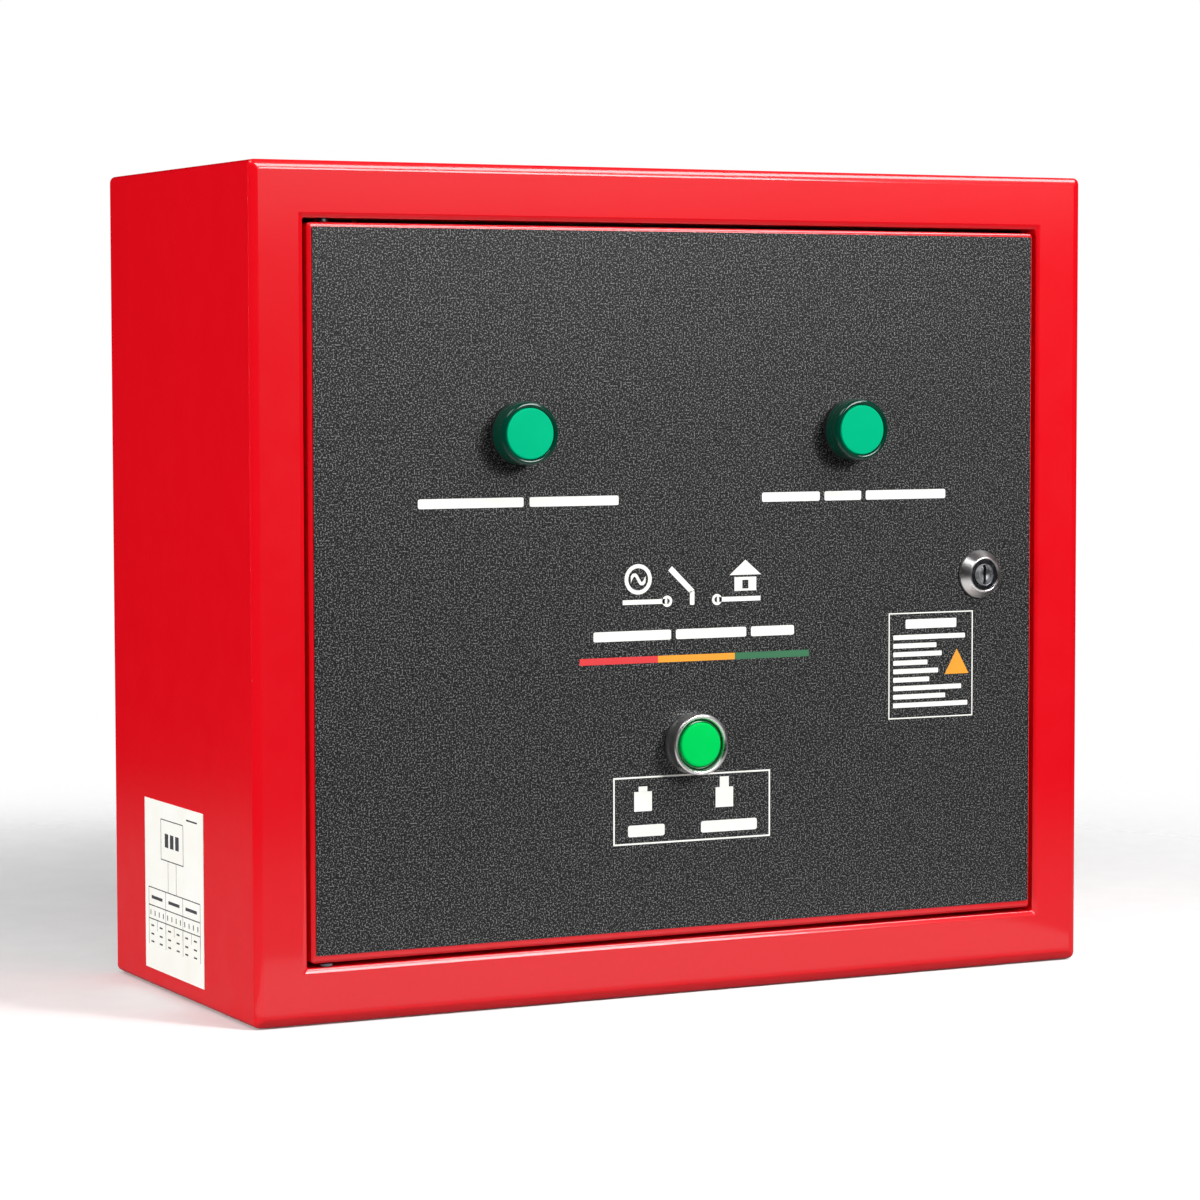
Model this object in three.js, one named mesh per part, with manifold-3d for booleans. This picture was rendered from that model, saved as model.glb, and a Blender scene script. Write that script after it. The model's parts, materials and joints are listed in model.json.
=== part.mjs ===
// Wall-mounted transfer switch enclosure for a stand-by generator.
// Units are millimetres. +Z is up, the front faces -Y, the origin is the centre of the rear (wall) face.
import * as THREE from 'three';
import { mergeVertices } from 'three/addons/utils/BufferGeometryUtils.js';
import Module from 'manifold-3d';

const wasm = await Module();
wasm.setup();

// ---- driving dimensions ----------------------------------------------------------------------
const GAP = 0.3;                       // clearance kept between pieces that touch
const BOX = { width: 430, height: 380, depth: 180, sheet: 1.5, bend: 2.5, corner: 3 };
const OPENING = { width: 380, height: 330, returnDepth: 18, lip: 8 };
const DOOR = { gap: 2, sheet: 1.2, recess: 0.5, flange: 12.7, bend: 1.5, corner: 1.6 };
const OVERLAY = { left: 2.2, right: 1.2, top: 1.8, bottom: 3.5, thickness: 0.4, air: 0.1 };
const HINGE = { inset: 8, behindFront: 4.5, pinRadius: 2, holeRadius: 2.35 };
const PLATE = { width: 340, height: 290, thickness: 2, front: -20 };
const RAIL = { height: 35, depth: 7.5, sheet: 1, length: 320, upperZ: 75, lowerZ: -95 };
const DEVICE_HOLE = 11.3;              // radius of a 22 mm panel device hole
const LAMP_X = 86;
const LAMP_Z = 70;
const BUTTON = { x: 2, z: -74 };
const LOCK = { x: 158, z: 0, holeRadius: 9.3 };
const WALL_HOLE = { x: 180, z: 155, radius: 4.5 };
const GLAND = { width: 260, depth: 80, cutWidth: 240, cutDepth: 60, y: -80, grommetX: 75, hole: 11 };
const LABEL = { depth: 77, height: 80, y: -79.5, z: -141.5, thickness: 0.2, air: 0.1 };
const STANDOFF = { x: 155, z: 130, holeRadius: 3.4 };
const REAR_FLANGE = 12;                // width of the flange that the rear panel is welded to
const STUD = { radius: 2, x: GLAND.cutWidth / 2 + 5, length: 11 };
const HOUSE_X = -87.5;                 // centres of the rail-mounted devices
const GENERATOR_X = -30.5;
const MODULE_X = 50;
const BREAKER_X = 100;
const TERMINAL_X = 87.5;

const HALF_W = BOX.width / 2;
const HALF_H = BOX.height / 2;
const FRONT_Y = -BOX.depth;
const OPEN_W = OPENING.width / 2;
const OPEN_H = OPENING.height / 2;
const DOOR_W = OPEN_W - DOOR.gap;
const DOOR_H = OPEN_H - DOOR.gap;
const DOOR_FACE_Y = FRONT_Y + DOOR.recess;
const LIP_FRONT_Y = FRONT_Y + OPENING.returnDepth - BOX.sheet;
const PANEL_FRONT_Y = -BOX.sheet;       // front face of the rear panel
const PIN_X = -DOOR_W + HINGE.inset;
const PIN_Y = FRONT_Y + HINGE.behindFront;

// ---- materials -------------------------------------------------------------------------------
const finish = (color, roughness, metalness = 0) =>
  new THREE.MeshStandardMaterial({ color, roughness, metalness });
const MATERIAL = {
  redPaint: finish(0xd8161c, 0.35),
  overlay: finish(0x3b3b3d, 0.75),
  galvanised: finish(0x9fa4a8, 0.5, 0.9),
  zinc: finish(0xb7bbc0, 0.35, 1),
  chrome: finish(0xd8dade, 0.12, 1),
  brass: finish(0xb88f45, 0.35, 1),
  greenLens: finish(0x00b884, 0.15),
  greenCap: finish(0x00dd62, 0.35),
  blackPlastic: finish(0x17181a, 0.5),
  greyPlastic: finish(0x8d9194, 0.6),
  creamPlastic: finish(0xd9d7cc, 0.55),
  toggle: finish(0x1c4f9c, 0.5),
  rubber: finish(0x1b1b1b, 0.9),
  foam: finish(0x232323, 0.95),
  paper: finish(0xf2efe4, 0.7),
  cable: finish(0x24262b, 0.55),
};

// ---- solids ----------------------------------------------------------------------------------
// A solid is a manifold-3d body; every helper below takes its shape from a three.js geometry.
function solid(geometry) {
  geometry.deleteAttribute('normal');
  geometry.deleteAttribute('uv');
  const merged = mergeVertices(geometry, 1e-4);
  const vertProperties = new Float32Array(merged.attributes.position.array);
  const triVerts = new Uint32Array(merged.index.array);
  const body = new wasm.Manifold(new wasm.Mesh({ numProp: 3, vertProperties, triVerts }));
  if (body.volume() > 0) {
    return body;
  }
  // A profile listed the other way round faces inwards, so its triangles are turned over.
  for (let corner = 0; corner < triVerts.length; corner += 3) {
    [triVerts[corner], triVerts[corner + 1]] = [triVerts[corner + 1], triVerts[corner]];
  }
  return new wasm.Manifold(new wasm.Mesh({ numProp: 3, vertProperties, triVerts }));
}

function joined(...solids) {
  return solids.reduce((whole, piece) => whole.add(piece));
}

function cut(base, ...tools) {
  return tools.reduce((whole, tool) => whole.subtract(tool), base);
}

// Box between two corners given as [x0, x1], [y0, y1], [z0, z1].
function slab([x0, x1], [y0, y1], [z0, z1]) {
  const geometry = new THREE.BoxGeometry(x1 - x0, y1 - y0, z1 - z0);
  geometry.translate((x0 + x1) / 2, (y0 + y1) / 2, (z0 + z1) / 2);
  return solid(geometry);
}

// Solid of revolution about the Y axis; the profile holds [radius, y] pairs.
function turned(profile, segments = 32) {
  const points = profile.map(([radius, y]) => new THREE.Vector2(radius, y));
  return solid(new THREE.LatheGeometry(points, segments));
}

// Round bar along Y between y0 and y1.
function bar(radius, y0, y1, x = 0, z = 0, segments = 24) {
  const geometry = new THREE.CylinderGeometry(radius, radius, y1 - y0, segments);
  geometry.translate(x, (y0 + y1) / 2, z);
  return solid(geometry);
}

// Round bar along Z between z0 and z1.
function post(radius, z0, z1, x = 0, y = 0, segments = 24) {
  const geometry = new THREE.CylinderGeometry(radius, radius, z1 - z0, segments);
  geometry.rotateX(Math.PI / 2);
  geometry.translate(x, y, (z0 + z1) / 2);
  return solid(geometry);
}

// Hexagonal prism along Y, measured across its flats.
function hexagon(acrossFlats, y0, y1) {
  return bar(acrossFlats / Math.sqrt(3), y0, y1, 0, 0, 6);
}

function roundedRectangle(x0, x1, z0, z1, radius) {
  const shape = new THREE.Shape();
  shape.moveTo(x0 + radius, z0);
  shape.lineTo(x1 - radius, z0);
  shape.absarc(x1 - radius, z0 + radius, radius, -Math.PI / 2, 0);
  shape.lineTo(x1, z1 - radius);
  shape.absarc(x1 - radius, z1 - radius, radius, 0, Math.PI / 2);
  shape.lineTo(x0 + radius, z1);
  shape.absarc(x0 + radius, z1 - radius, radius, Math.PI / 2, Math.PI);
  shape.lineTo(x0, z0 + radius);
  shape.absarc(x0 + radius, z0 + radius, radius, Math.PI, 1.5 * Math.PI);
  return shape;
}

// Shape drawn in (x, z), extruded along Y from y0 to y1.
const TO_Y = new THREE.Matrix4().makeBasis(
  new THREE.Vector3(1, 0, 0), new THREE.Vector3(0, 0, 1), new THREE.Vector3(0, -1, 0));
function prismY(shape, y0, y1, options = {}) {
  const settings = { depth: y1 - y0, bevelEnabled: false, curveSegments: 2, ...options };
  const geometry = new THREE.ExtrudeGeometry(shape, settings);
  geometry.applyMatrix4(TO_Y);
  geometry.translate(0, y1, 0);
  return solid(geometry);
}

// Shape drawn in (y, z), extruded along X from x0 to x1.
const TO_X = new THREE.Matrix4().makeBasis(
  new THREE.Vector3(0, 1, 0), new THREE.Vector3(0, 0, 1), new THREE.Vector3(1, 0, 0));
function prismX(outline, x0, x1) {
  const shape = new THREE.Shape(outline.map(([y, z]) => new THREE.Vector2(y, z)));
  const geometry = new THREE.ExtrudeGeometry(shape, { depth: x1 - x0, bevelEnabled: false });
  geometry.applyMatrix4(TO_X);
  geometry.translate(x0, 0, 0);
  return solid(geometry);
}

// Block with a rounded front edge (the bend of folded sheet) from y0 (front) back to y1.
function foldedBlock(halfWidth, halfHeight, y0, y1, bend, corner) {
  const shape = roundedRectangle(-halfWidth, halfWidth, -halfHeight, halfHeight, corner);
  const surplus = 2 * bend;
  const options = { bevelEnabled: true, bevelSize: bend, bevelOffset: -bend,
    bevelThickness: bend, bevelSegments: 3 };
  const block = prismY(shape, y0 + bend, y1 + surplus, options);
  const half = 2 * Math.max(halfWidth, halfHeight);
  return cut(block, slab([-half, half], [y1, y1 + 4 * surplus], [-half, half]));
}

// Round-section tube along a smooth curve through the given points.
function tube(points, radius, steps, sides = 8) {
  const curve = new THREE.CatmullRomCurve3(points.map((p) => new THREE.Vector3(...p)));
  const section = new THREE.Shape();
  section.absarc(0, 0, radius, 0, 2 * Math.PI);
  const options = { extrudePath: curve, steps, curveSegments: sides / 2, bevelEnabled: false };
  return solid(new THREE.ExtrudeGeometry(section, options));
}

function named(name, body, material) {
  const { vertProperties, triVerts } = body.getMesh();
  const geometry = new THREE.BufferGeometry();
  geometry.setAttribute('position', new THREE.BufferAttribute(new Float32Array(vertProperties), 3));
  geometry.setIndex(new THREE.BufferAttribute(new Uint32Array(triVerts), 1));
  geometry.computeVertexNormals();
  const mesh = new THREE.Mesh(geometry, material);
  mesh.name = name;
  return mesh;
}

function groupAt(x, y, z, ...meshes) {
  const group = new THREE.Group();
  group.position.set(x, y, z);
  group.add(...meshes);
  return group;
}

// ---- enclosure -------------------------------------------------------------------------------
function enclosureBody() {
  const t = BOX.sheet;
  const outer = foldedBlock(HALF_W, HALF_H, FRONT_Y, 0, BOX.bend, BOX.corner);
  const inner = foldedBlock(HALF_W - t, HALF_H - t, FRONT_Y + t, 5, BOX.bend - t, BOX.corner - t);
  const opening = slab([-OPEN_W, OPEN_W], [FRONT_Y - 5, FRONT_Y + 5], [-OPEN_H, OPEN_H]);
  let body = cut(outer, inner, opening);

  // Return flange behind the edge of the opening, with a lip on the three sides away from the hinge.
  const returnEnd = FRONT_Y + OPENING.returnDepth;
  const ring = slab([-OPEN_W - t, OPEN_W + t], [FRONT_Y + t / 2, returnEnd], [-OPEN_H - t, OPEN_H + t]);
  const bore = slab([-OPEN_W, OPEN_W], [FRONT_Y - 5, returnEnd + 5], [-OPEN_H, OPEN_H]);
  const lipLeft = -OPEN_W + 30;
  const lip = slab([lipLeft, OPEN_W + t / 2], [LIP_FRONT_Y, returnEnd], [-OPEN_H - t / 2, OPEN_H + t / 2]);
  const lipHole = slab([lipLeft - 5, OPEN_W - OPENING.lip], [LIP_FRONT_Y - 5, returnEnd + 5],
    [-OPEN_H + OPENING.lip, OPEN_H - OPENING.lip]);
  body = joined(body, cut(ring, bore), cut(lip, lipHole));

  // Rear flange that the rear panel is welded to.
  const rearFlange = slab([-HALF_W + t / 2, HALF_W - t / 2], [2 * PANEL_FRONT_Y - GAP, PANEL_FRONT_Y - GAP],
    [-HALF_H + t / 2, HALF_H - t / 2]);
  const edge = t + REAR_FLANGE;
  const rearHole = slab([-HALF_W + edge, HALF_W - edge], [-20, 5], [-HALF_H + edge, HALF_H - edge]);
  body = joined(body, cut(rearFlange, rearHole));

  // Cable entry cut-out in the floor, the two weld studs of the gland plate, and the hinge pin holes.
  const entry = slab([-GLAND.cutWidth / 2, GLAND.cutWidth / 2],
    [GLAND.y - GLAND.cutDepth / 2, GLAND.y + GLAND.cutDepth / 2], [-HALF_H - 5, -HALF_H + 5]);
  body = cut(body, entry);
  for (const side of [-1, 1]) {
    body = joined(body,
      post(STUD.radius, -HALF_H + t / 2, -HALF_H + STUD.length, side * STUD.x, GLAND.y, 12));
    const edgeZ = side * (OPEN_H + t / 2);
    body = cut(body, post(HINGE.holeRadius, edgeZ - 2, edgeZ + 2, PIN_X, PIN_Y, 16));
  }
  return body;
}

function rearPanel() {
  const edge = BOX.sheet + GAP;
  const shape = roundedRectangle(-HALF_W + edge, HALF_W - edge, -HALF_H + edge, HALF_H - edge, 1.2);
  let panel = prismY(shape, PANEL_FRONT_Y, 0);
  for (const x of [-WALL_HOLE.x, WALL_HOLE.x]) {
    for (const z of [-WALL_HOLE.z, WALL_HOLE.z]) {
      panel = cut(panel, bar(WALL_HOLE.radius, -5, 5, x, z, 16));
    }
  }
  return panel;
}

const enclosure = groupAt(0, 0, 0,
  named('enclosure_body', enclosureBody(), MATERIAL.redPaint),
  named('rear_panel', rearPanel(), MATERIAL.redPaint),
  named('wiring_diagram_label', slab([-HALF_W - LABEL.air - LABEL.thickness, -HALF_W - LABEL.air],
    [LABEL.y - LABEL.depth / 2, LABEL.y + LABEL.depth / 2],
    [LABEL.z - LABEL.height / 2, LABEL.z + LABEL.height / 2]), MATERIAL.paper));

// ---- cable entry -----------------------------------------------------------------------------
function glandPlate() {
  const low = -HALF_H + BOX.sheet + GAP;
  let plate = slab([-GLAND.width / 2, GLAND.width / 2],
    [GLAND.y - GLAND.depth / 2, GLAND.y + GLAND.depth / 2], [low, low + BOX.sheet]);
  for (const side of [-1, 0, 1]) {
    plate = cut(plate, post(GLAND.hole, low - 5, low + 5, side * GLAND.grommetX, GLAND.y, 20));
  }
  for (const side of [-1, 1]) {
    plate = cut(plate, post(STUD.radius + 0.4, low - 5, low + 5, side * STUD.x, GLAND.y, 12));
  }
  return plate;
}

// Closed-membrane rubber grommet: flange, groove for the plate, flange, and a thin web across.
function grommet() {
  const plateLow = BOX.sheet + GAP;
  const plateHigh = plateLow + BOX.sheet;
  const neck = GLAND.hole - GAP;
  return turned([[0, 2.4], [8, 2.4], [8.6, 0.2], [13.6, 0.2], [14, plateLow - GAP],
    [neck, plateLow - GAP], [neck, plateHigh + GAP], [13, plateHigh + GAP], [11.2, 7.5],
    [8.4, 7.5], [8, 3.6], [0, 3.6]], 20);
}

const cableEntry = groupAt(0, 0, 0, named('gland_plate', glandPlate(), MATERIAL.galvanised));
['house', 'output', 'generator'].forEach((circuit, index) => {
  const mesh = named(`grommet_${circuit}`, grommet(), MATERIAL.rubber);
  mesh.rotation.x = Math.PI / 2;
  cableEntry.add(groupAt((index - 1) * GLAND.grommetX, GLAND.y, -HALF_H, mesh));
});
for (const [name, side] of [['left', -1], ['right', 1]]) {
  const hexNut = cut(hexagon(7, 0, 3), bar(STUD.radius + GAP, -1, 4));
  const nut = named(`gland_plate_nut_${name}`, hexNut, MATERIAL.zinc);
  nut.rotation.x = Math.PI / 2;
  const seatZ = -HALF_H + 2 * BOX.sheet + 2 * GAP;
  cableEntry.add(groupAt(side * STUD.x, GLAND.y, seatZ, nut));
}

// ---- mounting plate and rails ----------------------------------------------------------------
function mountingPlate() {
  const front = PLATE.front;
  const shape = roundedRectangle(-PLATE.width / 2, PLATE.width / 2, -PLATE.height / 2, PLATE.height / 2, 4);
  let plate = prismY(shape, front, front + PLATE.thickness);
  for (const x of [-STANDOFF.x, STANDOFF.x]) {
    for (const z of [-STANDOFF.z, STANDOFF.z]) {
      plate = cut(plate, bar(STANDOFF.holeRadius, front - 5, front + 5, x, z, 16));
    }
  }
  return plate;
}

// Hexagonal spacer against the rear panel with a threaded end through the plate.
function standoff() {
  const seat = PLATE.front + PLATE.thickness + GAP;
  return joined(hexagon(10, seat, PANEL_FRONT_Y - GAP), bar(3, PLATE.front - 8, seat + 1, 0, 0, 12));
}

function plateNut() {
  return cut(hexagon(10, PLATE.front - GAP - 5, PLATE.front - GAP), bar(3.3, -40, 0, 0, 0, 12));
}

// Top-hat rail: 35 mm wide, 7.5 mm deep, its channel open to the front.
function topHatRail(z) {
  const rear = PLATE.front - GAP;
  const front = rear - RAIL.depth;
  const t = RAIL.sheet;
  const wide = RAIL.height / 2;
  const narrow = 12.5;
  const outline = [[rear, narrow], [rear, -narrow], [front + t, -narrow], [front + t, -wide],
    [front, -wide], [front, -narrow + t], [rear - t, -narrow + t], [rear - t, narrow - t],
    [front, narrow - t], [front, wide], [front + t, wide], [front + t, narrow]];
  return prismX(outline.map(([y, v]) => [y, v + z]), -RAIL.length / 2, RAIL.length / 2);
}

const backplane = groupAt(0, 0, 0,
  named('mounting_plate', mountingPlate(), MATERIAL.galvanised),
  named('din_rail_upper', topHatRail(RAIL.upperZ), MATERIAL.zinc),
  named('din_rail_lower', topHatRail(RAIL.lowerZ), MATERIAL.zinc));
let corner = 0;
for (const z of [STANDOFF.z, -STANDOFF.z]) {
  for (const x of [-STANDOFF.x, STANDOFF.x]) {
    corner += 1;
    backplane.add(groupAt(x, 0, z,
      named(`plate_standoff_${corner}`, standoff(), MATERIAL.zinc),
      named(`plate_nut_${corner}`, plateNut(), MATERIAL.zinc)));
  }
}

// Brass earth stud with its flange and locknuts, below the lower rail.
const EARTH = { x: 128, z: -130, flange: 9 };
function earthStud() {
  const seat = PLATE.front - GAP;
  return joined(bar(4, seat - 26, seat, 0, 0, 16), bar(EARTH.flange, seat - 2, seat, 0, 0, 20),
    hexagon(13, seat - 8, seat - 1), hexagon(13, seat - 17, seat - 10.5));
}
backplane.add(groupAt(EARTH.x, 0, EARTH.z, named('earth_stud', earthStud(), MATERIAL.brass)));

// ---- rail-mounted devices --------------------------------------------------------------------
// Each is drawn about its own rail centre: x and z are zero there, y is the enclosure's own.
const DEVICE_BACK = PLATE.front - 2;
const RAIL_SLOT = { halfHeight: RAIL.height / 2 + 0.5, front: PLATE.front - GAP - RAIL.depth - 0.5 };
const CONTACTOR = { width: 45, pole: 10 };

function onRail(body, halfWidth) {
  const slot = slab([-halfWidth - 5, halfWidth + 5], [RAIL_SLOT.front, DEVICE_BACK + 5],
    [-RAIL_SLOT.halfHeight, RAIL_SLOT.halfHeight]);
  return cut(body, slot);
}

// Outline in (y, z) that is the same above and below the rail; steps holds its upper half.
function steppedProfile(steps) {
  const lower = [...steps].reverse().map(([y, z]) => [y, -z]);
  return [...steps, ...lower];
}

function contactorBody() {
  const half = CONTACTOR.width / 2;
  const outline = steppedProfile([[DEVICE_BACK, 42], [-60, 42], [-61, 30], [-92, 30], [-93, 22],
    [-106, 22]]);
  let body = onRail(prismX(outline, -half, half), half);
  body = cut(body, slab([-8, 8], [-110, -85], [-6, 6]));
  for (const row of [-1, 1]) {
    for (const pole of [-1.5, -0.5, 0.5, 1.5]) {
      const x = pole * CONTACTOR.pole;
      body = cut(body, bar(3.4, -70, -54, x, row * 36, 8));
      body = cut(body, post(3, row * 42 - 8, row * 42 + 8, x, -49, 8));
    }
  }
  return body;
}

function contactorArmature() {
  return joined(slab([-7.4, 7.4], [-105, -90], [-5.4, 5.4]), slab([-5, 5], [-105.8, -104], [-1, 1]));
}

function interlockBlock() {
  return joined(slab([-4.6, 4.6], [-88, -48], [-24, 24]), slab([-4.6, 4.6], [-94, -80], [-9, 9]));
}

function controlModule() {
  const half = 26.2;
  const outline = steppedProfile([[DEVICE_BACK, 44], [-64, 44], [-65, 22.5], [-78, 22.5]]);
  let body = onRail(prismX(outline, -half, half), half);
  for (const row of [-1, 1]) {
    for (const pole of [-2.5, -1.5, -0.5, 0.5, 1.5, 2.5]) {
      body = cut(body, bar(2.6, -70, -58, pole * 8, row * 36, 8));
    }
  }
  for (const z of [-11, 11]) {
    body = cut(body, cut(bar(5, -82, -77, -12, z, 16), bar(3.6, -90, -60, -12, z, 16)));
  }
  return body;
}

const TOGGLE = { y: -74.5, drum: 6, reach: 17, rest: 38 };
function controlBreaker() {
  const half = 8.8;
  const outline = steppedProfile([[DEVICE_BACK, 42], [-66, 42], [-67, 22.5], [-78, 22.5]]);
  let body = onRail(prismX(outline, -half, half), half);
  const well = new THREE.CylinderGeometry(TOGGLE.drum + 0.7, TOGGLE.drum + 0.7, 11, 24);
  well.rotateZ(Math.PI / 2);
  well.translate(0, TOGGLE.y, 0);
  body = cut(body, solid(well));
  for (const row of [-1, 1]) {
    body = cut(body, bar(3, -72, -60, 0, row * 34, 12));
    body = cut(body, post(2.8, row * 42 - 8, row * 42 + 8, 0, -48, 12));
  }
  return body;
}

// Toggle drawn about its own pivot, pointing to the front before it is turned to its rest angle.
function breakerToggle() {
  const drum = new THREE.CylinderGeometry(TOGGLE.drum, TOGGLE.drum, 9.6, 24);
  drum.rotateZ(Math.PI / 2);
  return joined(solid(drum), slab([-4.4, 4.4], [-TOGGLE.reach, -2], [-2, 2]));
}

function terminalBlock() {
  const outline = steppedProfile([[DEVICE_BACK, 24], [-52, 24], [-62, 14]]);
  let body = onRail(prismX(outline, -22, 22), 22);
  for (const pole of [-1.5, -0.5, 0.5, 1.5]) {
    for (const row of [-1, 1]) {
      body = cut(body, bar(3, -70, -54, pole * 10.4, row * 9, 8));
      body = cut(body, post(3.2, row * 24 - 8, row * 24 + 8, pole * 10.4, -42, 8));
    }
  }
  return body;
}

const toggle = named('control_breaker_toggle', breakerToggle(), MATERIAL.toggle);
toggle.position.y = TOGGLE.y;
toggle.rotation.x = -THREE.MathUtils.degToRad(TOGGLE.rest);
const upperRow = groupAt(0, 0, RAIL.upperZ,
  groupAt(HOUSE_X, 0, 0,
    named('house_contactor_body', contactorBody(), MATERIAL.greyPlastic),
    named('house_contactor_armature', contactorArmature(), MATERIAL.blackPlastic)),
  groupAt((HOUSE_X + GENERATOR_X) / 2, 0, 0,
    named('interlock_block', interlockBlock(), MATERIAL.blackPlastic)),
  groupAt(GENERATOR_X, 0, 0,
    named('generator_contactor_body', contactorBody(), MATERIAL.greyPlastic),
    named('generator_contactor_armature', contactorArmature(), MATERIAL.blackPlastic)),
  groupAt(MODULE_X, 0, 0, named('control_module', controlModule(), MATERIAL.creamPlastic)),
  groupAt(BREAKER_X, 0, 0, named('control_breaker', controlBreaker(), MATERIAL.creamPlastic), toggle));
const lowerRow = groupAt(0, 0, RAIL.lowerZ,
  groupAt(-TERMINAL_X, 0, 0, named('terminal_house', terminalBlock(), MATERIAL.creamPlastic)),
  groupAt(0, 0, 0, named('terminal_output', terminalBlock(), MATERIAL.creamPlastic)),
  groupAt(TERMINAL_X, 0, 0, named('terminal_generator', terminalBlock(), MATERIAL.creamPlastic)));

// ---- wiring ----------------------------------------------------------------------------------
// Each loom is the outer shape of a tied bundle, from one set of terminals to the next.
const LOOM_RADIUS = 6;
const terminalTop = RAIL.lowerZ + 24 + 1;
const contactorFoot = RAIL.upperZ - 42 - 1;
const contactorHead = RAIL.upperZ + 42 + 1;

// The two contactors' upper terminals are bridged by one loom that runs down to the output terminals.
function outputLoom() {
  const main = tube([[HOUSE_X, -46, contactorHead], [HOUSE_X + 2, -46, 130], [-66, -46, 141],
    [-20, -46, 142], [2, -46, 130], [7, -44, 100], [7, -42, 40], [3, -42, -30], [0, -43, -56],
    [0, -44, terminalTop]], LOOM_RADIUS, 32);
  const branch = tube([[GENERATOR_X, -46, contactorHead], [GENERATOR_X, -46, 142]], LOOM_RADIUS - 0.5, 1);
  return joined(main, branch);
}

const wiring = groupAt(0, 0, 0,
  named('loom_house', tube([[-87.5, -44, terminalTop], [-87.5, -45, -60], [-87.5, -54, -30],
    [-87.5, -52, 0], [-87.5, -47, 20], [-87.5, -46, contactorFoot]], LOOM_RADIUS, 16), MATERIAL.cable),
  named('loom_generator', tube([[87.5, -44, terminalTop], [87.2, -45, -58], [70, -58, -38], [20, -64, -30],
    [-15, -62, -22], [-29, -52, -2], [-30.5, -46, 18], [-30.5, -46, contactorFoot]], LOOM_RADIUS, 28),
  MATERIAL.cable),
  named('loom_output', outputLoom(), MATERIAL.cable),
  named('control_loom', tube([[50, -42, 29.5], [50, -44, 18], [20, -62, 6], [-40, -72, 2], [-100, -74, 0],
    [-138, -73, -2], [-150, -76, -6], [-154, -84, -9], [-154, -91, -9]], 3.5, 30), MATERIAL.cable),
  named('door_loom', tube([[-154, -92, -9], [-154, -98, -10], [-154, -106, -24], [-154, -116, -42],
    [-152, -130, -56], [-149, -146, -52], [-145, -160, -36], [-140, -169, -20], [-130, -172.5, -12],
    [-122, -173, -10]], 3.5, 26), MATERIAL.cable));

// ---- door ------------------------------------------------------------------------------------
const DEVICES = [[-LAMP_X, LAMP_Z, DEVICE_HOLE], [LAMP_X, LAMP_Z, DEVICE_HOLE],
  [BUTTON.x, BUTTON.z, DEVICE_HOLE], [LOCK.x, LOCK.z, LOCK.holeRadius]];

function drilled(sheet) {
  const holes = DEVICES.map(([x, z, radius]) => bar(radius, FRONT_Y - 5, FRONT_Y + 5, x, z, 24));
  return cut(sheet, ...holes);
}

function doorPanel() {
  const t = DOOR.sheet;
  const back = DOOR_FACE_Y + DOOR.flange;
  const outer = foldedBlock(DOOR_W, DOOR_H, DOOR_FACE_Y, back, DOOR.bend, DOOR.corner);
  const inner = foldedBlock(DOOR_W - t, DOOR_H - t, DOOR_FACE_Y + t, back + 5,
    DOOR.bend - t, DOOR.corner - t);
  let door = drilled(cut(outer, inner));
  for (const edge of [-1, 1]) {
    const edgeZ = edge * (DOOR_H - t / 2);
    door = cut(door, post(HINGE.holeRadius, edgeZ - 2, edgeZ + 2, PIN_X, PIN_Y, 16));
  }
  return door;
}

function doorOverlay() {
  const rear = DOOR_FACE_Y - OVERLAY.air;
  const shape = roundedRectangle(-DOOR_W + OVERLAY.left, DOOR_W - OVERLAY.right,
    -DOOR_H + OVERLAY.bottom, DOOR_H - OVERLAY.top, 0.8);
  return drilled(prismY(shape, rear - OVERLAY.thickness, rear));
}

// Foam strip on the front of the lip, on the top, lock and bottom sides.
function doorSeal() {
  const left = -OPEN_W + 32;
  const depth = [DOOR_FACE_Y + DOOR.flange + GAP, LIP_FRONT_Y - GAP];
  const outer = slab([left, OPEN_W - GAP], depth, [-OPEN_H + GAP, OPEN_H - GAP]);
  const width = OPENING.lip - 1;
  const inner = slab([left - 5, OPEN_W - width], [-200, 0], [-OPEN_H + width, OPEN_H - width]);
  return cut(outer, inner);
}

// Shouldered hinge pin: end inside the door, shoulder in the gap, end through the frame.
function hingePin() {
  const r = HINGE.pinRadius;
  return turned([[0, -8], [r - 0.4, -8], [r, -7.6], [r, 0.3], [3.8, 0.3], [3.8, 1.7], [r, 1.7],
    [r, 6], [2.6, 6], [2.6, 7.4], [0, 7.4]], 12);
}

function panelNut(acrossFlats, bore, depth) {
  return cut(hexagon(acrossFlats, 2, 2 + depth), bar(bore, 0, 20, 0, 0, 16));
}

const door = groupAt(0, 0, 0,
  named('door_panel', doorPanel(), MATERIAL.redPaint),
  named('door_overlay', doorOverlay(), MATERIAL.overlay),
  named('door_seal', doorSeal(), MATERIAL.foam));
for (const [name, side] of [['upper', 1], ['lower', -1]]) {
  const pin = named(`hinge_pin_${name}`, hingePin(), MATERIAL.zinc);
  pin.rotation.x = side * Math.PI / 2;
  door.add(groupAt(PIN_X, PIN_Y, side * DOOR_H, pin));
}

// ---- door devices (each drawn about its hole, y = 0 on the overlay) ----------------------------
function lampLens() {
  return turned([[0, -12], [11.4, -12], [11.8, -11.6], [11.8, -11.2], [12.6, -11.2], [13.1, -10.7],
    [13.1, -8.2], [13.9, -7.6], [14.5, -6.9], [14.5, -3], [14.1, -2.6], [12.2, -2.6], [12.2, -8.4],
    [0, -8.4]], 32);
}

function lampBody() {
  const shell = turned([[0, -8], [11.7, -8], [11.7, -2.3], [14.2, -2.3], [14.2, -0.3], [11, -0.3],
    [11, 30], [9.5, 30], [9.5, 34], [0, 34]], 24);
  return joined(shell, bar(2, 33, 39, -4.5, 0, 8), bar(2, 33, 39, 4.5, 0, 8));
}

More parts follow.
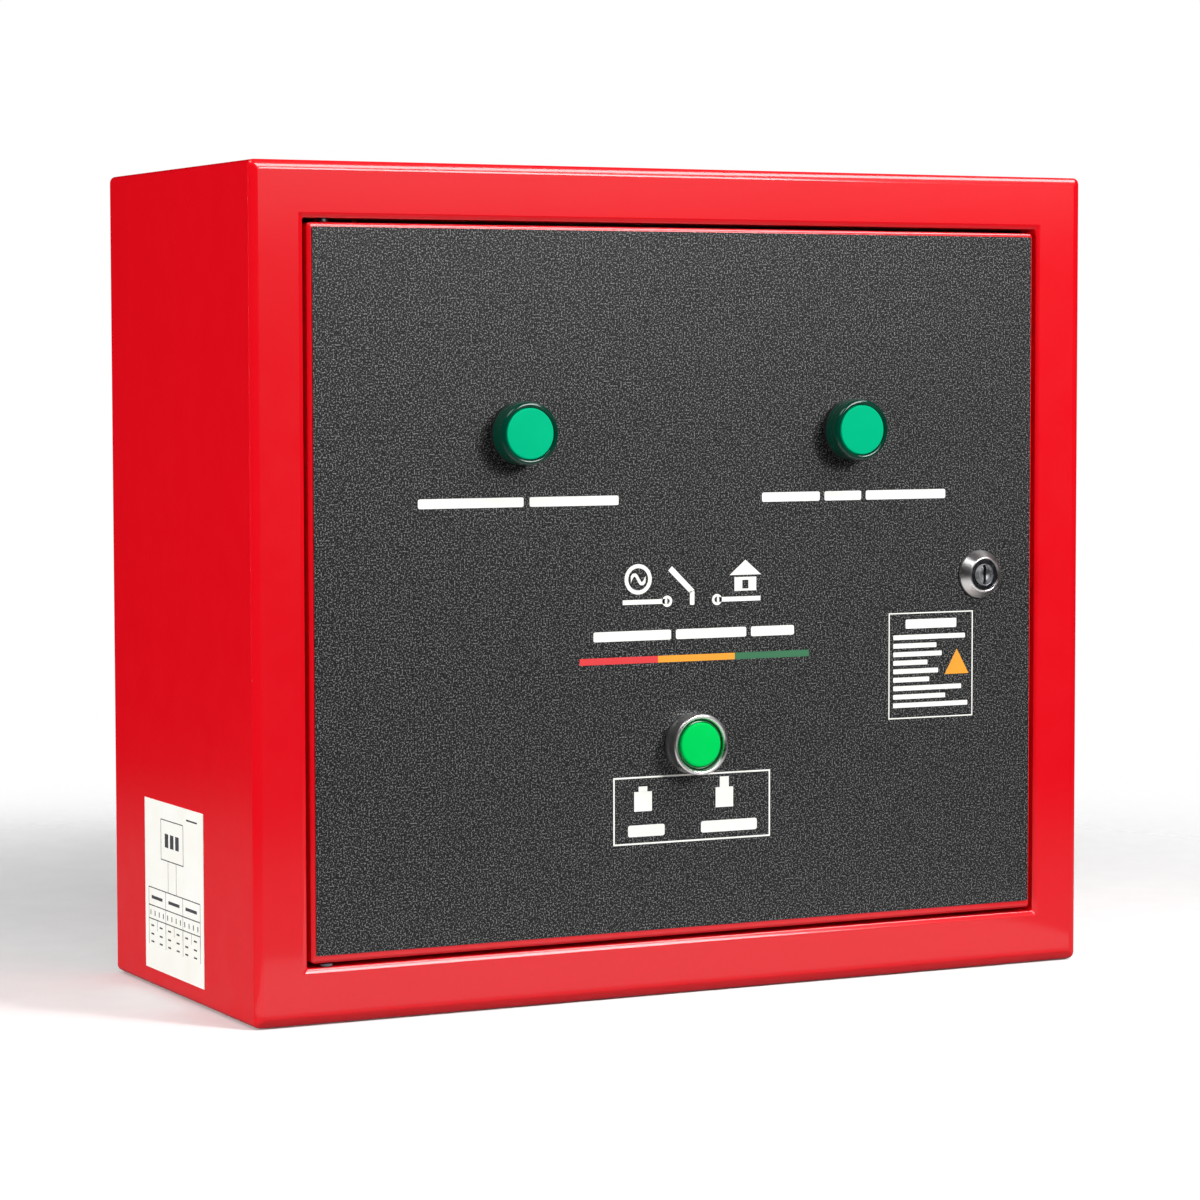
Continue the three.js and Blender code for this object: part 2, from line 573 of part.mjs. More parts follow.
for (const [side, x] of [['left', -LAMP_X], ['right', LAMP_X]]) {
  door.add(groupAt(x, FRONT_Y, LAMP_Z,
    named(`lamp_${side}_lens`, lampLens(), MATERIAL.greenLens),
    named(`lamp_${side}_body`, lampBody(), MATERIAL.blackPlastic),
    named(`lamp_${side}_nut`, panelNut(27, 11.4, 4), MATERIAL.blackPlastic)));
}

function buttonBezel() {
  return turned([[11.5, -0.3], [13, -0.3], [13, -1.6], [12.7, -2.4], [13.2, -4.6], [14.2, -8.2],
    [14.2, -9], [13.7, -9.6], [12.9, -9.6], [12.1, -8.6], [11.5, -7.2], [11.5, -0.3]], 32);
}

function buttonHousing() {
  const seat = 12;
  return turned([[9.2, -1.2], [11, -1.2], [11, 24], [6.4, 24], [6.4, seat], [9.2, seat], [9.2, -1.2]], 24);
}

function buttonCap() {
  return turned([[0, -8.8], [9.8, -8.8], [10.3, -8.3], [10.3, -7.2], [11, -6.9], [11, -6], [5.8, -6],
    [5.8, 26], [0, 26]], 28);
}

function buttonSpring() {
  const turns = 5;
  const meanRadius = 7.5;
  const wire = 0.5;
  const start = -6 + GAP + wire;
  const end = 12 - GAP - wire;
  class Helix extends THREE.Curve {
    getPoint(t, target = new THREE.Vector3()) {
      const angle = 2 * Math.PI * turns * t;
      const y = start + (end - start) * t;
      return target.set(meanRadius * Math.cos(angle), y, meanRadius * Math.sin(angle));
    }
  }
  const section = new THREE.Shape();
  section.absarc(0, 0, wire, 0, 2 * Math.PI);
  return solid(new THREE.ExtrudeGeometry(section,
    { extrudePath: new Helix(), steps: turns * 12, curveSegments: 3, bevelEnabled: false }));
}

function buttonContactBlock() {
  const block = slab([-14, 14], [24.4, 50], [-15, 15]);
  const screws = [];
  for (const x of [-8, 8]) {
    for (const z of [-10, 10]) {
      screws.push(bar(2.6, 44, 60, x, z, 10));
    }
  }
  return cut(block, bar(6.4, 20, 34, 0, 0, 24), ...screws);
}

door.add(groupAt(BUTTON.x, FRONT_Y, BUTTON.z,
  named('button_bezel', buttonBezel(), MATERIAL.chrome),
  named('button_housing', buttonHousing(), MATERIAL.blackPlastic),
  named('button_cap', buttonCap(), MATERIAL.greenCap),
  named('button_spring', buttonSpring(), MATERIAL.zinc),
  named('button_nut', panelNut(27, 11.4, 4), MATERIAL.blackPlastic),
  named('button_contact_block', buttonContactBlock(), MATERIAL.blackPlastic)));

const CAM = { reach: 29, halfWidth: 7, front: 18.6, thickness: 2 };
function lockHousing() {
  return turned([[5.5, -5], [7.6, -5], [7.8, -5.6], [8.3, -5.6], [8.6, -5.2], [11.3, -1.4], [11.5, -1],
    [11.5, -0.3], [9, -0.3], [9, 18], [5.5, 18], [5.5, -5]], 28);
}

function lockPlug() {
  const barrel = turned([[0, -4.6], [2.2, -4.6], [3.6, -5.3], [5.1, -5.1], [5.1, 17.9], [0, 17.9]], 28);
  const tail = slab([-3, 3], [17, 21.2], [-3, 3]);
  const slot = slab([-0.75, 0.75], [-10, 6], [-4.3, 4.3]);
  return cut(joined(barrel, tail), slot, bar(2.3, 11, 30, 0, 0, 16));
}

function lockCam() {
  const shape = roundedRectangle(-CAM.halfWidth, CAM.halfWidth, -CAM.reach, CAM.halfWidth, 3);
  const plate = prismY(shape, CAM.front, CAM.front + CAM.thickness);
  return cut(plate, slab([-3.3, 3.3], [10, 30], [-3.3, 3.3]));
}

function camScrew() {
  return joined(bar(2, 12, 22, 0, 0, 16), bar(5.5, 21.5, 22.5, 0, 0, 20), hexagon(8, 22, 25.5));
}

door.add(groupAt(LOCK.x, FRONT_Y, LOCK.z,
  named('lock_housing', lockHousing(), MATERIAL.chrome),
  named('lock_plug', lockPlug(), MATERIAL.chrome),
  named('lock_nut', panelNut(22, 9.4, 4), MATERIAL.zinc),
  named('lock_cam', lockCam(), MATERIAL.zinc),
  named('lock_cam_screw', camScrew(), MATERIAL.zinc)));

// Harness along the back of the door, with a tail to each lamp and to the button.
function doorHarness() {
  const run = tube([[-121.6, -173, -10], [-110, -173, -8], [-60, -173, 4], [0, -173, 6], [60, -173, 8],
    [80, -172, 20], [92, -164, 36], [96, -150, 50], [94, -139, 62], [90.5, -136.5, 72]], 3.2, 30);
  const toLeft = tube([[-66, -173, 2], [-74, -171, 16], [-72, -160, 36], [-74, -148, 50],
    [-78, -139.5, 62], [-81.5, -137.5, 72]], 2.2, 10, 6);
  const toButton = tube([[-8, -173, 5], [-22, -171, -14], [-28, -160, -36], [-26, -140, -54],
    [-20, -127, -64], [-8, -125, -68]], 2.2, 10, 6);
  return joined(run, toLeft, toButton);
}
door.add(named('door_harness', doorHarness(), MATERIAL.cable));

const transferSwitch = new THREE.Group();
transferSwitch.add(enclosure, cableEntry, backplane, upperRow, lowerRow, wiring, door);
export default transferSwitch;
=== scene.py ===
"""Looks of the transfer switch enclosure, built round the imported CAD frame.
Lengths are in millimetres until a mesh is finished."""
import json
from math import copysign, cos, pi, radians, sin, sqrt

import bmesh
import bpy
from mathutils import Matrix, Vector

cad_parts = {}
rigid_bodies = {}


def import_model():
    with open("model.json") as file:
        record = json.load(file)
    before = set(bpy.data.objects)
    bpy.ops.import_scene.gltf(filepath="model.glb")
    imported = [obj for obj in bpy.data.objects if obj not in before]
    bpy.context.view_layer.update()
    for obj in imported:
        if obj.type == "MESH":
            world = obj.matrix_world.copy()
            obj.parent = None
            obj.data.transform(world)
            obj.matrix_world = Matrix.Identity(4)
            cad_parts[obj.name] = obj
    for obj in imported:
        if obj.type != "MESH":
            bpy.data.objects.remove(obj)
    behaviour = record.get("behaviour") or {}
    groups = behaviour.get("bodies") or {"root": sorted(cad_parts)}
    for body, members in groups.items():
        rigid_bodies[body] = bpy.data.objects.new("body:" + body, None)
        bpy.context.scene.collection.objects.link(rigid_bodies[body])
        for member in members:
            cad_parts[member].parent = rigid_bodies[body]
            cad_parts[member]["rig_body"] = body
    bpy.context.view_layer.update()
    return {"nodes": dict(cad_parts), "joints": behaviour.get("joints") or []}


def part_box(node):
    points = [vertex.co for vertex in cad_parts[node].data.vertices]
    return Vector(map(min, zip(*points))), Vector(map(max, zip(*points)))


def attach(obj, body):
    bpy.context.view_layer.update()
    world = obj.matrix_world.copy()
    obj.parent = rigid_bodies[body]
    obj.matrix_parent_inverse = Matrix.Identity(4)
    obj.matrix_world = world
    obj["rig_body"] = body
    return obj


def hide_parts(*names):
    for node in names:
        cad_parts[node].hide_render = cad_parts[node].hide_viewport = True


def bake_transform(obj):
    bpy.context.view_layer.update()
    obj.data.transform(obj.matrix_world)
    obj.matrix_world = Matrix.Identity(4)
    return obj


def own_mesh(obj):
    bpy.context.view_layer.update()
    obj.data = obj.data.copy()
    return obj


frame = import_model()
MM = 0.001


def box_of(node):
    """Lowest and highest corner of a CAD node, in millimetres."""
    low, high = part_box(node)
    return low / MM, high / MM


def middle(node):
    low, high = box_of(node)
    return (low + high) / 2


def layout(node):
    """Corners of a CAD node and the x and z of its middle."""
    low, high = box_of(node)
    return low, high, (low.x + high.x) / 2, (low.z + high.z) / 2


def joint(name):
    return next(entry for entry in frame["joints"] if entry["name"] == name)


# ---- camera ----------------------------------------------------------------------------------
CAMERA_PLACE = (-810.5, -1698.9, 103.4)
CAMERA_YAW = 26.73
CAMERA_PITCH = -3.69
CAMERA_ROLL = 0.1
CAMERA_LENS = 112.26
camera_data = bpy.data.cameras.new("camera")
camera_data.lens = CAMERA_LENS
camera_data.sensor_width = 36
camera_data.clip_start = 0.05
camera_data.clip_end = 40
camera = bpy.data.objects.new("camera", camera_data)
bpy.context.scene.collection.objects.link(camera)
look = (Matrix.Rotation(-radians(CAMERA_YAW), 4, "Z")
        @ Matrix.Rotation(radians(90 + CAMERA_PITCH), 4, "X")
        @ Matrix.Rotation(-radians(CAMERA_ROLL), 4, "Z"))
camera.matrix_world = Matrix.Translation(Vector(CAMERA_PLACE) * MM) @ look
bpy.context.scene.camera = camera


# ---- node materials --------------------------------------------------------------------------
def material(name, color, roughness, **sockets):
    """A Principled material with constant inputs; the detail is added by the caller."""
    mat = bpy.data.materials.new(name)
    mat.use_nodes = True
    inputs = mat.node_tree.nodes["Principled BSDF"].inputs
    inputs["Base Color"].default_value = (*color, 1)
    inputs["Roughness"].default_value = roughness
    for key, value in sockets.items():
        inputs[key.replace("_", " ")].default_value = value
    mat.diffuse_color = (*color, 1)
    return mat


def add(mat, kind, inputs=None, **properties):
    """Adds a shader node; an input given as a socket is linked, anything else is its value."""
    made = mat.node_tree.nodes.new("ShaderNode" + kind)
    for key, value in properties.items():
        setattr(made, key, value)
    for key, value in (inputs or {}).items():
        if isinstance(value, bpy.types.NodeSocket):
            mat.node_tree.links.new(value, made.inputs[key])
        else:
            made.inputs[key].default_value = value
    return made


def shader(mat):
    return mat.node_tree.nodes["Principled BSDF"]


def wire(mat, socket, target):
    mat.node_tree.links.new(socket, shader(mat).inputs[target])


def place(mat, scale=(1, 1, 1)):
    """Object coordinates, stretched by scale."""
    coordinates = add(mat, "TexCoord")
    return add(mat, "Mapping", {"Vector": coordinates.outputs["Object"], "Scale": scale}).outputs["Vector"]


def noise(mat, scale, detail=2.0, roughness=0.5, stretch=(1, 1, 1)):
    inputs = {"Vector": place(mat, stretch), "Scale": scale, "Detail": detail, "Roughness": roughness}
    return add(mat, "TexNoise", inputs).outputs["Fac"]


def ramp(mat, factor, *stops):
    """Colour ramp with (position, colour) stops; a number stands for a grey."""
    made = add(mat, "ValToRGB", {"Fac": factor})
    elements = made.color_ramp.elements
    while len(elements) < len(stops):
        elements.new(0.5)
    for element, (position, color) in zip(elements, stops):
        element.position = position
        element.color = (*color, 1) if isinstance(color, tuple) else (color, color, color, 1)
    return made.outputs["Color"]


def spread(mat, factor, low, high):
    made = add(mat, "MapRange", {"Value": factor, "From Min": 0.3, "From Max": 0.7,
                                 "To Min": low, "To Max": high})
    return made.outputs["Result"]


def bump(mat, height, distance, under=None, strength=1.0):
    inputs = {"Height": height, "Distance": distance, "Strength": strength}
    if under:
        inputs["Normal"] = under
    return add(mat, "Bump", inputs).outputs["Normal"]


def worn_paint(name, color, deep, roughness, peel_depth, peel_scale=520):
    """Powder coat: slow colour drift, orange peel, fine pores and an uneven gloss."""
    mat = material(name, color, roughness, Specular_IOR_Level=0.12, Coat_Weight=0.36, Coat_IOR=2.0,
                   Coat_Roughness=0.1)
    drift = ramp(mat, noise(mat, 7, 1), (0.3, color), (0.7, deep))
    wire(mat, drift, "Base Color")
    wire(mat, spread(mat, noise(mat, 60, 4), roughness - 0.05, roughness + 0.06), "Roughness")
    waves = bump(mat, noise(mat, 11, 0), 0.0003)
    peel = bump(mat, noise(mat, peel_scale, 1.5), peel_depth, waves)
    wire(mat, bump(mat, noise(mat, 2600, 1), peel_depth / 6, peel), "Normal")
    return mat


def metal(name, color, roughness, brushed=(1, 1, 1), scale=300, depth=0.00001):
    """Bare or plated metal with an uneven finish; brushed stretches the marks along one way."""
    mat = material(name, color, roughness, Metallic=1.0)
    marks = noise(mat, scale, 3, 0.6, brushed)
    dull = tuple(0.86 * c for c in color)
    wire(mat, ramp(mat, noise(mat, 35, 4), (0.35, color), (0.7, dull)), "Base Color")
    wire(mat, spread(mat, marks, roughness * 0.75, roughness * 1.3), "Roughness")
    wire(mat, bump(mat, marks, depth), "Normal")
    return mat


def plastic(name, color, roughness, grain=900, depth=0.00001, **sockets):
    """Moulded plastic: fine spark-eroded grain and a slight mottle."""
    mat = material(name, color, roughness, **sockets)
    pale = tuple(min(1, 1.12 * c + 0.001) for c in color)
    wire(mat, ramp(mat, noise(mat, 45, 3), (0.3, color), (0.75, pale)), "Base Color")
    wire(mat, spread(mat, noise(mat, 130, 3), roughness * 0.85, roughness * 1.15), "Roughness")
    wire(mat, bump(mat, noise(mat, grain, 2), depth), "Normal")
    return mat


def overlay_film():
    """Charcoal film with a fine worm-like grain of lighter and darker flecks about a millimetre across."""
    mat = material("overlay_film", (0.04, 0.04, 0.042), 0.4, Specular_IOR_Level=0.30)
    grain = noise(mat, 1400, 1.2, 0.6)
    flecks = ramp(mat, grain, (0.45, 0.001), (0.545, 0.007), (0.614, 0.195))
    wire(mat, flecks, "Base Color")
    wire(mat, spread(mat, grain, 0.36, 0.46), "Roughness")
    wire(mat, bump(mat, grain, 0.00008), "Normal")
    return mat


def galvanised():
    """Hot-dip zinc with its spangle of flat crystals."""
    mat = material("galvanised", (0.55, 0.57, 0.59), 0.38, Metallic=0.9)
    crystals = add(mat, "TexVoronoi", {"Vector": place(mat), "Scale": 170.0}, feature="F1")
    tone = add(mat, "SeparateColor", {"Color": crystals.outputs["Color"]}).outputs["Red"]
    wire(mat, ramp(mat, tone, (0.0, 0.47), (1.0, 0.60)), "Base Color")
    wire(mat, spread(mat, tone, 0.4, 0.5), "Roughness")
    wire(mat, bump(mat, noise(mat, 240, 2), 0.00002), "Normal")
    return mat


RED = (0.74, 0.0028, 0.0095)
MATERIALS = {
    "red": worn_paint("red_powder_coat", RED, (0.72, 0.0026, 0.009), 0.35, 0.00003),
    "overlay": overlay_film(),
    "galvanised": galvanised(),
    "zinc": metal("zinc_plate", (0.62, 0.63, 0.65), 0.3),
    "rail": metal("rail_steel", (0.62, 0.64, 0.65), 0.36, (0.04, 1, 1), 500, 0.000004),
    "chrome": metal("chrome", (0.72, 0.71, 0.70), 0.3, scale=90, depth=0.0000004),
    "dark_metal": metal("dark_metal", (0.16, 0.16, 0.18), 0.22, scale=700),
    "brass": metal("brass", (0.66, 0.45, 0.17), 0.28),
    "lens": plastic("green_lens", (0.0, 0.035, 0.020), 0.1, 500, 0.000002, Specular_IOR_Level=0.3,
                    Coat_Weight=0.5, Coat_Roughness=0.04),
    "lens_face": plastic("green_lens_face", (0.0, 0.36, 0.17), 0.45, 300, 0.00001,
                         Specular_IOR_Level=0.02, Emission_Color=(0.0, 0.6, 0.28, 1),
                         Emission_Strength=0.15),
    # The button cap is no lamp: its emission is a painted glow that brightens its green face. The first
    # control-module LED uses this material too.
    "cap": plastic("green_cap", (0.0, 0.50, 0.082), 0.45, 300, 0.00001, Specular_IOR_Level=0.02,
                   Emission_Color=(0.0, 0.8, 0.14, 1), Emission_Strength=0.15),
    "skirt": plastic("green_skirt", (0.0, 0.14, 0.035), 0.12, 300, 0.00001, Coat_Weight=0.5),
    "black": plastic("black_plastic", (0.011, 0.011, 0.012), 0.38),
    "grey": plastic("grey_plastic", (0.17, 0.18, 0.19), 0.5),
    "cream": plastic("cream_plastic", (0.60, 0.58, 0.53), 0.5),
    "blue": plastic("blue_plastic", (0.015, 0.07, 0.30), 0.35),
    "rubber": plastic("black_rubber", (0.010, 0.010, 0.010), 0.75, 600, 0.00003),
    "white_plastic": plastic("white_nylon", (0.7, 0.7, 0.68), 0.5),
    "foam": plastic("foam", (0.018, 0.018, 0.019), 0.9, 1400, 0.0002),
    "paper": plastic("label_vinyl", (0.96, 0.94, 0.86), 0.45, 1200, 0.000006),
    "ink": plastic("label_ink", (0.06, 0.06, 0.065), 0.5, 1200, 0.000006),
    "sleeve": plastic("cable_sleeve", (0.02, 0.02, 0.022), 0.45, 500, 0.00004),
}
INKS = {"white_ink": (0.88, 0.87, 0.82), "red_ink": (0.72, 0.035, 0.04), "amber_ink": (0.85, 0.33, 0.02),
        "green_ink": (0.03, 0.16, 0.07)}
for ink, ink_color in INKS.items():
    MATERIALS[ink] = plastic(ink, ink_color, 0.5, 1200, 0.00003)
WIRES = {"wire_brown": (0.085, 0.028, 0.012), "wire_black": (0.012, 0.012, 0.013),
         "wire_grey": (0.25, 0.26, 0.27), "wire_blue": (0.02, 0.11, 0.42)}
for wire_name, wire_color in WIRES.items():
    MATERIALS[wire_name] = plastic(wire_name, wire_color, 0.35)


# ---- mesh tools ------------------------------------------------------------------------------
def linked(name, mesh, mat):
    """An object in the scene from a mesh given in millimetres."""
    mesh.transform(Matrix.Scale(MM, 4))
    mesh.shade_smooth()
    mesh.materials.clear()
    mesh.materials.append(mat)
    obj = bpy.data.objects.new(name, mesh)
    bpy.context.scene.collection.objects.link(obj)
    return obj


def finish_mesh(name, mesh, key, body, sharp=32):
    """Links a mesh given in millimetres as a piece that rides on a CAD body."""
    obj = linked(name, mesh, MATERIALS[key])
    mesh.set_sharp_from_angle(angle=radians(sharp))
    flats = obj.modifiers.new("true_flats", "WEIGHTED_NORMAL")
    flats.keep_sharp = True
    flats.weight = 90
    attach(obj, body)
    return obj


def detail(name, mesh, key, body, slot_name, sharp=32):
    """Adds a finished mesh that the CAD has no node for."""
    piece = finish_mesh(name, mesh, key, body, sharp)
    return piece


def swap(name, mesh, key, node, sharp=32):
    """Adds a finished mesh that stands for a CAD node, on that node's body, and hides the node."""
    stands_for = frame["nodes"][node]
    piece = detail(name, mesh, key, stands_for["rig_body"], stands_for.data.materials[0].name, sharp)
    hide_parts(node)
    return piece


def mesh_from(build):
    """Runs build(bm) on an empty bmesh and returns the cleaned mesh with its faces outwards."""
    bm = bmesh.new()
    build(bm)
    bmesh.ops.remove_doubles(bm, verts=bm.verts, dist=1e-4)
    bmesh.ops.recalc_face_normals(bm, faces=bm.faces)
    mesh = bpy.data.meshes.new("mesh")
    bm.to_mesh(mesh)
    bm.free()
    return mesh


def skin(bm, rings, closed_round=True, closed_along=False, caps=False):
    """Quads between neighbouring rings of points."""
    rows = [[bm.verts.new(p) for p in ring] for ring in rings]
    pairs = list(zip(rows, rows[1:] + ([rows[0]] if closed_along else [])))
    for first, second in pairs:
        count = len(first)
        for i in range(count if closed_round else count - 1):
            j = (i + 1) % count
            bm.faces.new((first[i], first[j], second[j], second[i]))
    if caps:
        bm.faces.new(rows[0])
        bm.faces.new(rows[-1])


def revolved(profile, centre, segments=64, axis="Y"):
    """Closed profile of (radius, along) pairs, revolved about an axis through centre."""
    cx, cy, cz = centre

    def build(bm):
        rings = []
        for i in range(segments):
            angle = 2 * pi * i / segments
            c, s = cos(angle), sin(angle)
            if axis == "Y":
                rings.append([(cx + r * c, cy + a, cz + r * s) for r, a in profile])
            else:
                rings.append([(cx + r * c, cy + r * s, cz + a) for r, a in profile])
        skin(bm, rings, closed_along=True)
    return mesh_from(build)


def ring(centre, half_w, half_h, radius, y, steps=4):
    """Rounded rectangle in the plane at depth y."""
    radius = max(radius, 0.05)
    points = []
    for sx, sz, start in ((1, -1, -90), (1, 1, 0), (-1, 1, 90), (-1, -1, 180)):
        for i in range(steps + 1):
            angle = radians(start + 90 * i / steps)
            points.append((centre.x + sx * (half_w - radius) + radius * cos(angle), y,
                           centre.z + sz * (half_h - radius) + radius * sin(angle)))
    return points


FOLD_POWER = 1.5


def bend(inset, y, width, depth, start, steps=10):
    """Quarter turn of a pressed fold in (inset, y), from angle start through 90 degrees.
    It is flatter at its middle than a true arc, so that light catches it as a narrow band."""
    points = []
    for i in range(steps + 1):
        angle = radians(start + 90 * i / steps)
        c, s = cos(angle), sin(angle)
        points.append((inset + width * copysign(abs(c) ** FOLD_POWER, c),
                       y + depth * copysign(abs(s) ** FOLD_POWER, s)))
    return points


def folded(centre, half_w, half_h, profile, corner, closed_along=True, caps=False):
    """A sheet folded round a rectangle: profile holds (inset, y) and corner gives the radius at an inset."""
    def build(bm):
        rings = [ring(centre, half_w - inset, half_h - inset, corner(inset), y) for inset, y in profile]
        skin(bm, rings, closed_along=closed_along, caps=caps)
    return mesh_from(build)


def slab(low, high, radius=0.3, segments=2):
    """Box between two corners with softened edges."""
    def build(bm):
        size = [h - l for l, h in zip(low, high)]
        at = [(l + h) / 2 for l, h in zip(low, high)]
        matrix = Matrix.Translation(at) @ Matrix.Diagonal((*size, 1))
        bmesh.ops.create_cube(bm, size=1, matrix=matrix)
        if radius:
            bmesh.ops.bevel(bm, geom=bm.edges[:], offset=radius, segments=segments, profile=0.5,
                            affect="EDGES", clamp_overlap=True)
    return mesh_from(build)


def circle(x, z, radius, count=64):
    return [(x + radius * cos(2 * pi * i / count), z + radius * sin(2 * pi * i / count))
            for i in range(count)]


def rectangle(x0, x1, z0, z1, radius=0.0, steps=4):
    if radius <= 0:
        return [(x0, z0), (x1, z0), (x1, z1), (x0, z1)]
    at = Vector(((x0 + x1) / 2, 0, (z0 + z1) / 2))
    return [(x, z) for x, _, z in ring(at, (x1 - x0) / 2, (z1 - z0) / 2, radius, 0, steps)]


def cut_sheet(loops, front, rear, bevel=0.0, side=False):
    """Flat sheet with holes: loops are outlines in (x, z), extruded from front to rear along Y.
    With side, the outlines are in (y, z) and front and rear are places along X."""
    curve = bpy.data.curves.new("outline", "CURVE")
    curve.dimensions = "2D"
    curve.fill_mode = "BOTH"
    for loop in loops:
        spline = curve.splines.new("POLY")
        spline.points.add(len(loop) - 1)
        for point, (u, v) in zip(spline.points, loop):
            point.co = (u, v, 0, 1)
        spline.use_cyclic_u = True
    thickness = abs(rear - front)
    curve.extrude = thickness / 2 - bevel
    curve.bevel_depth = bevel
    curve.bevel_resolution = 1
    curve.offset = -bevel
    holder = bpy.data.objects.new("outline", curve)
    mesh = bpy.data.meshes.new_from_object(holder)
    bpy.data.objects.remove(holder)
    bpy.data.curves.remove(curve)
    at = (front + rear) / 2
    if side:
        turn = Matrix(((0, 0, 1, at), (1, 0, 0, 0), (0, 1, 0, 0), (0, 0, 0, 1)))
    else:
        turn = Matrix(((1, 0, 0, 0), (0, 0, -1, at), (0, 1, 0, 0), (0, 0, 0, 1)))
    mesh.transform(turn)
    return mesh_from(lambda bm: bm.from_mesh(mesh))


def joined(*meshes):
    """One mesh holding all the given ones."""
    bm = bmesh.new()
    for mesh in meshes:
        bm.from_mesh(mesh)
    whole = bpy.data.meshes.new("mesh")
    bm.to_mesh(whole)
    bm.free()
    return whole


def carve(mesh, *tools):
    """Subtracts the tool meshes from mesh."""
    base = bpy.data.objects.new("base", mesh)
    bpy.context.scene.collection.objects.link(base)
    holders = [base]
    for tool in tools:
        holder = bpy.data.objects.new("tool", tool)
        bpy.context.scene.collection.objects.link(holder)
        modifier = base.modifiers.new("cut", "BOOLEAN")
        modifier.object = holder
        modifier.operation = "DIFFERENCE"
        modifier.solver = "EXACT"
        holders.append(holder)
    graph = bpy.context.evaluated_depsgraph_get()
    result = bpy.data.meshes.new_from_object(base.evaluated_get(graph))
    for holder in holders:
        bpy.data.objects.remove(holder)
    return result


def rod(radius, centre, low, high, axis="Y", segments=48):
    profile = [(0, low), (radius, low), (radius, high), (0, high)]
    return revolved(profile, centre, segments, axis)


def copies(mesh, places):
    """One mesh holding a copy of mesh moved to each place."""
    moved = [mesh.copy() for _ in places]
    for piece, at in zip(moved, places):
        piece.transform(Matrix.Translation(Vector(at)))
    return joined(*moved)


def turned_to(mesh, axis):
    """Turns a mesh that was made along Y so that it lies along X or Z."""
    angle, about = (-90, "Z") if axis == "X" else (90, "X")
    mesh.transform(Matrix.Rotation(radians(angle), 4, about))
    return mesh


def hexagon(x, z, across_flats):
    return circle(x, z, across_flats / sqrt(3), 6)


def hex_nut(x, z, across_flats, bore, front, rear, softness=0.5):
    return cut_sheet([hexagon(x, z, across_flats), circle(x, z, bore, 48)], front, rear, softness)


def threaded(radius, low, high, centre, pitch=1.0, core=0):
    """Threaded rod along Y, as a row of small V grooves."""
    profile = [(core, low), (radius - 0.4, low), (radius, low + 0.4)]
    turns = int((high - low - 0.8) / pitch)
    for turn in range(turns):
        y = low + 0.4 + pitch * turn
        profile += [(radius, y + 0.25 * pitch), (radius - 0.3 * pitch, y + 0.6 * pitch),
                    (radius, y + 0.95 * pitch)]
    profile += [(radius, high - 0.3), (radius - 0.3, high), (core, high)]
    return revolved(profile, centre, 40)


def screw_head(radius, height=1.8):
    """Pan head facing -Y with a crossed recess, its seat at the origin."""
    profile = [(0, 0), (radius, 0), (radius, -0.55 * height), (0.86 * radius, -0.86 * height),
               (0.5 * radius, -height), (0, -1.04 * height)]
    arm = 0.62 * radius
    width = 0.16 * radius
    cross = [slab((-arm, -2 * height, -width), (arm, -0.45 * height, width), 0),
             slab((-width, -2 * height, -arm), (width, -0.45 * height, arm), 0)]
    head = carve(revolved(profile, (0, 0, 0), 28), cross[0])
    return carve(head, cross[1])


def smooth_route(points, spacing=2.0):
    """Even steps along a Catmull-Rom curve through the points."""
    ends = [2 * Vector(points[0]) - Vector(points[1])] + [Vector(p) for p in points]
    ends.append(2 * ends[-1] - ends[-2])
    fine = []
    for a, b, c, d in zip(ends, ends[1:], ends[2:], ends[3:]):
        for i in range(24):
            t = i / 24
            fine.append(0.5 * (2 * b + (c - a) * t + (2 * a - 5 * b + 4 * c - d) * t ** 2
                               + (3 * b - a - 3 * c + d) * t ** 3))
    fine.append(Vector(points[-1]))
    reach = [0.0]
    for a, b in zip(fine, fine[1:]):
        reach.append(reach[-1] + (b - a).length)
    count = max(int(reach[-1] / spacing), 4)
    route = []
    at = 0
    for i in range(count + 1):
        goal = reach[-1] * i / count
        while at < len(fine) - 2 and reach[at + 1] < goal:
            at += 1
        part = (goal - reach[at]) / max(reach[at + 1] - reach[at], 1e-9)
        route.append(fine[at].lerp(fine[at + 1], part))
    return route


def frames_along(route):
    """Point, tangent, two sides and length so far at each point of a route, carried without twist."""
    frames = []
    side = Vector((1, 0, 0))
    along = 0.0
    for i, point in enumerate(route):
        if i:
            along += (point - route[i - 1]).length
        tangent = (route[min(i + 1, len(route) - 1)] - route[max(i - 1, 0)]).normalized()
        side = (side - tangent * side.dot(tangent)).normalized()
        frames.append((point, tangent, side, tangent.cross(side), along))
    return frames


def tube_mesh(route, radius, sides=10):
    """Closed tube along a route; radius may be a function of (length along, angle)."""
    rings = []
    for point, _, side, other, along in frames_along(route):
        row = []
        for k in range(sides):
            angle = 2 * pi * k / sides
            r = radius(along, angle) if callable(radius) else radius
            row.append(point + side * (r * cos(angle)) + other * (r * sin(angle)))
        rings.append(row)
    return mesh_from(lambda bm: skin(bm, rings, caps=True))


def ease(t):
    t = min(max(t, 0.0), 1.0)
    return t * t * (3 - 2 * t)


WIRE_TWIST = 0.012


def strand(route, offset, angle, start_shift, end_shift, fan):
    """One wire of a bundle: it keeps its place round the route and fans out to its own ends."""
    frames = frames_along(route)
    length = frames[-1][4]
    points = []
    for point, _, side, other, along in frames:
        turn = angle + WIRE_TWIST * along
        near = 1 - ease(along / fan) if start_shift else 0
        far = 1 - ease((length - along) / fan) if end_shift else 0
        hold = offset * (1 - near) * (1 - far)
        at = point + side * (hold * cos(turn)) + other * (hold * sin(turn))
        points.append(at + Vector(start_shift or (0, 0, 0)) * near + Vector(end_shift or (0, 0, 0)) * far)
    return points


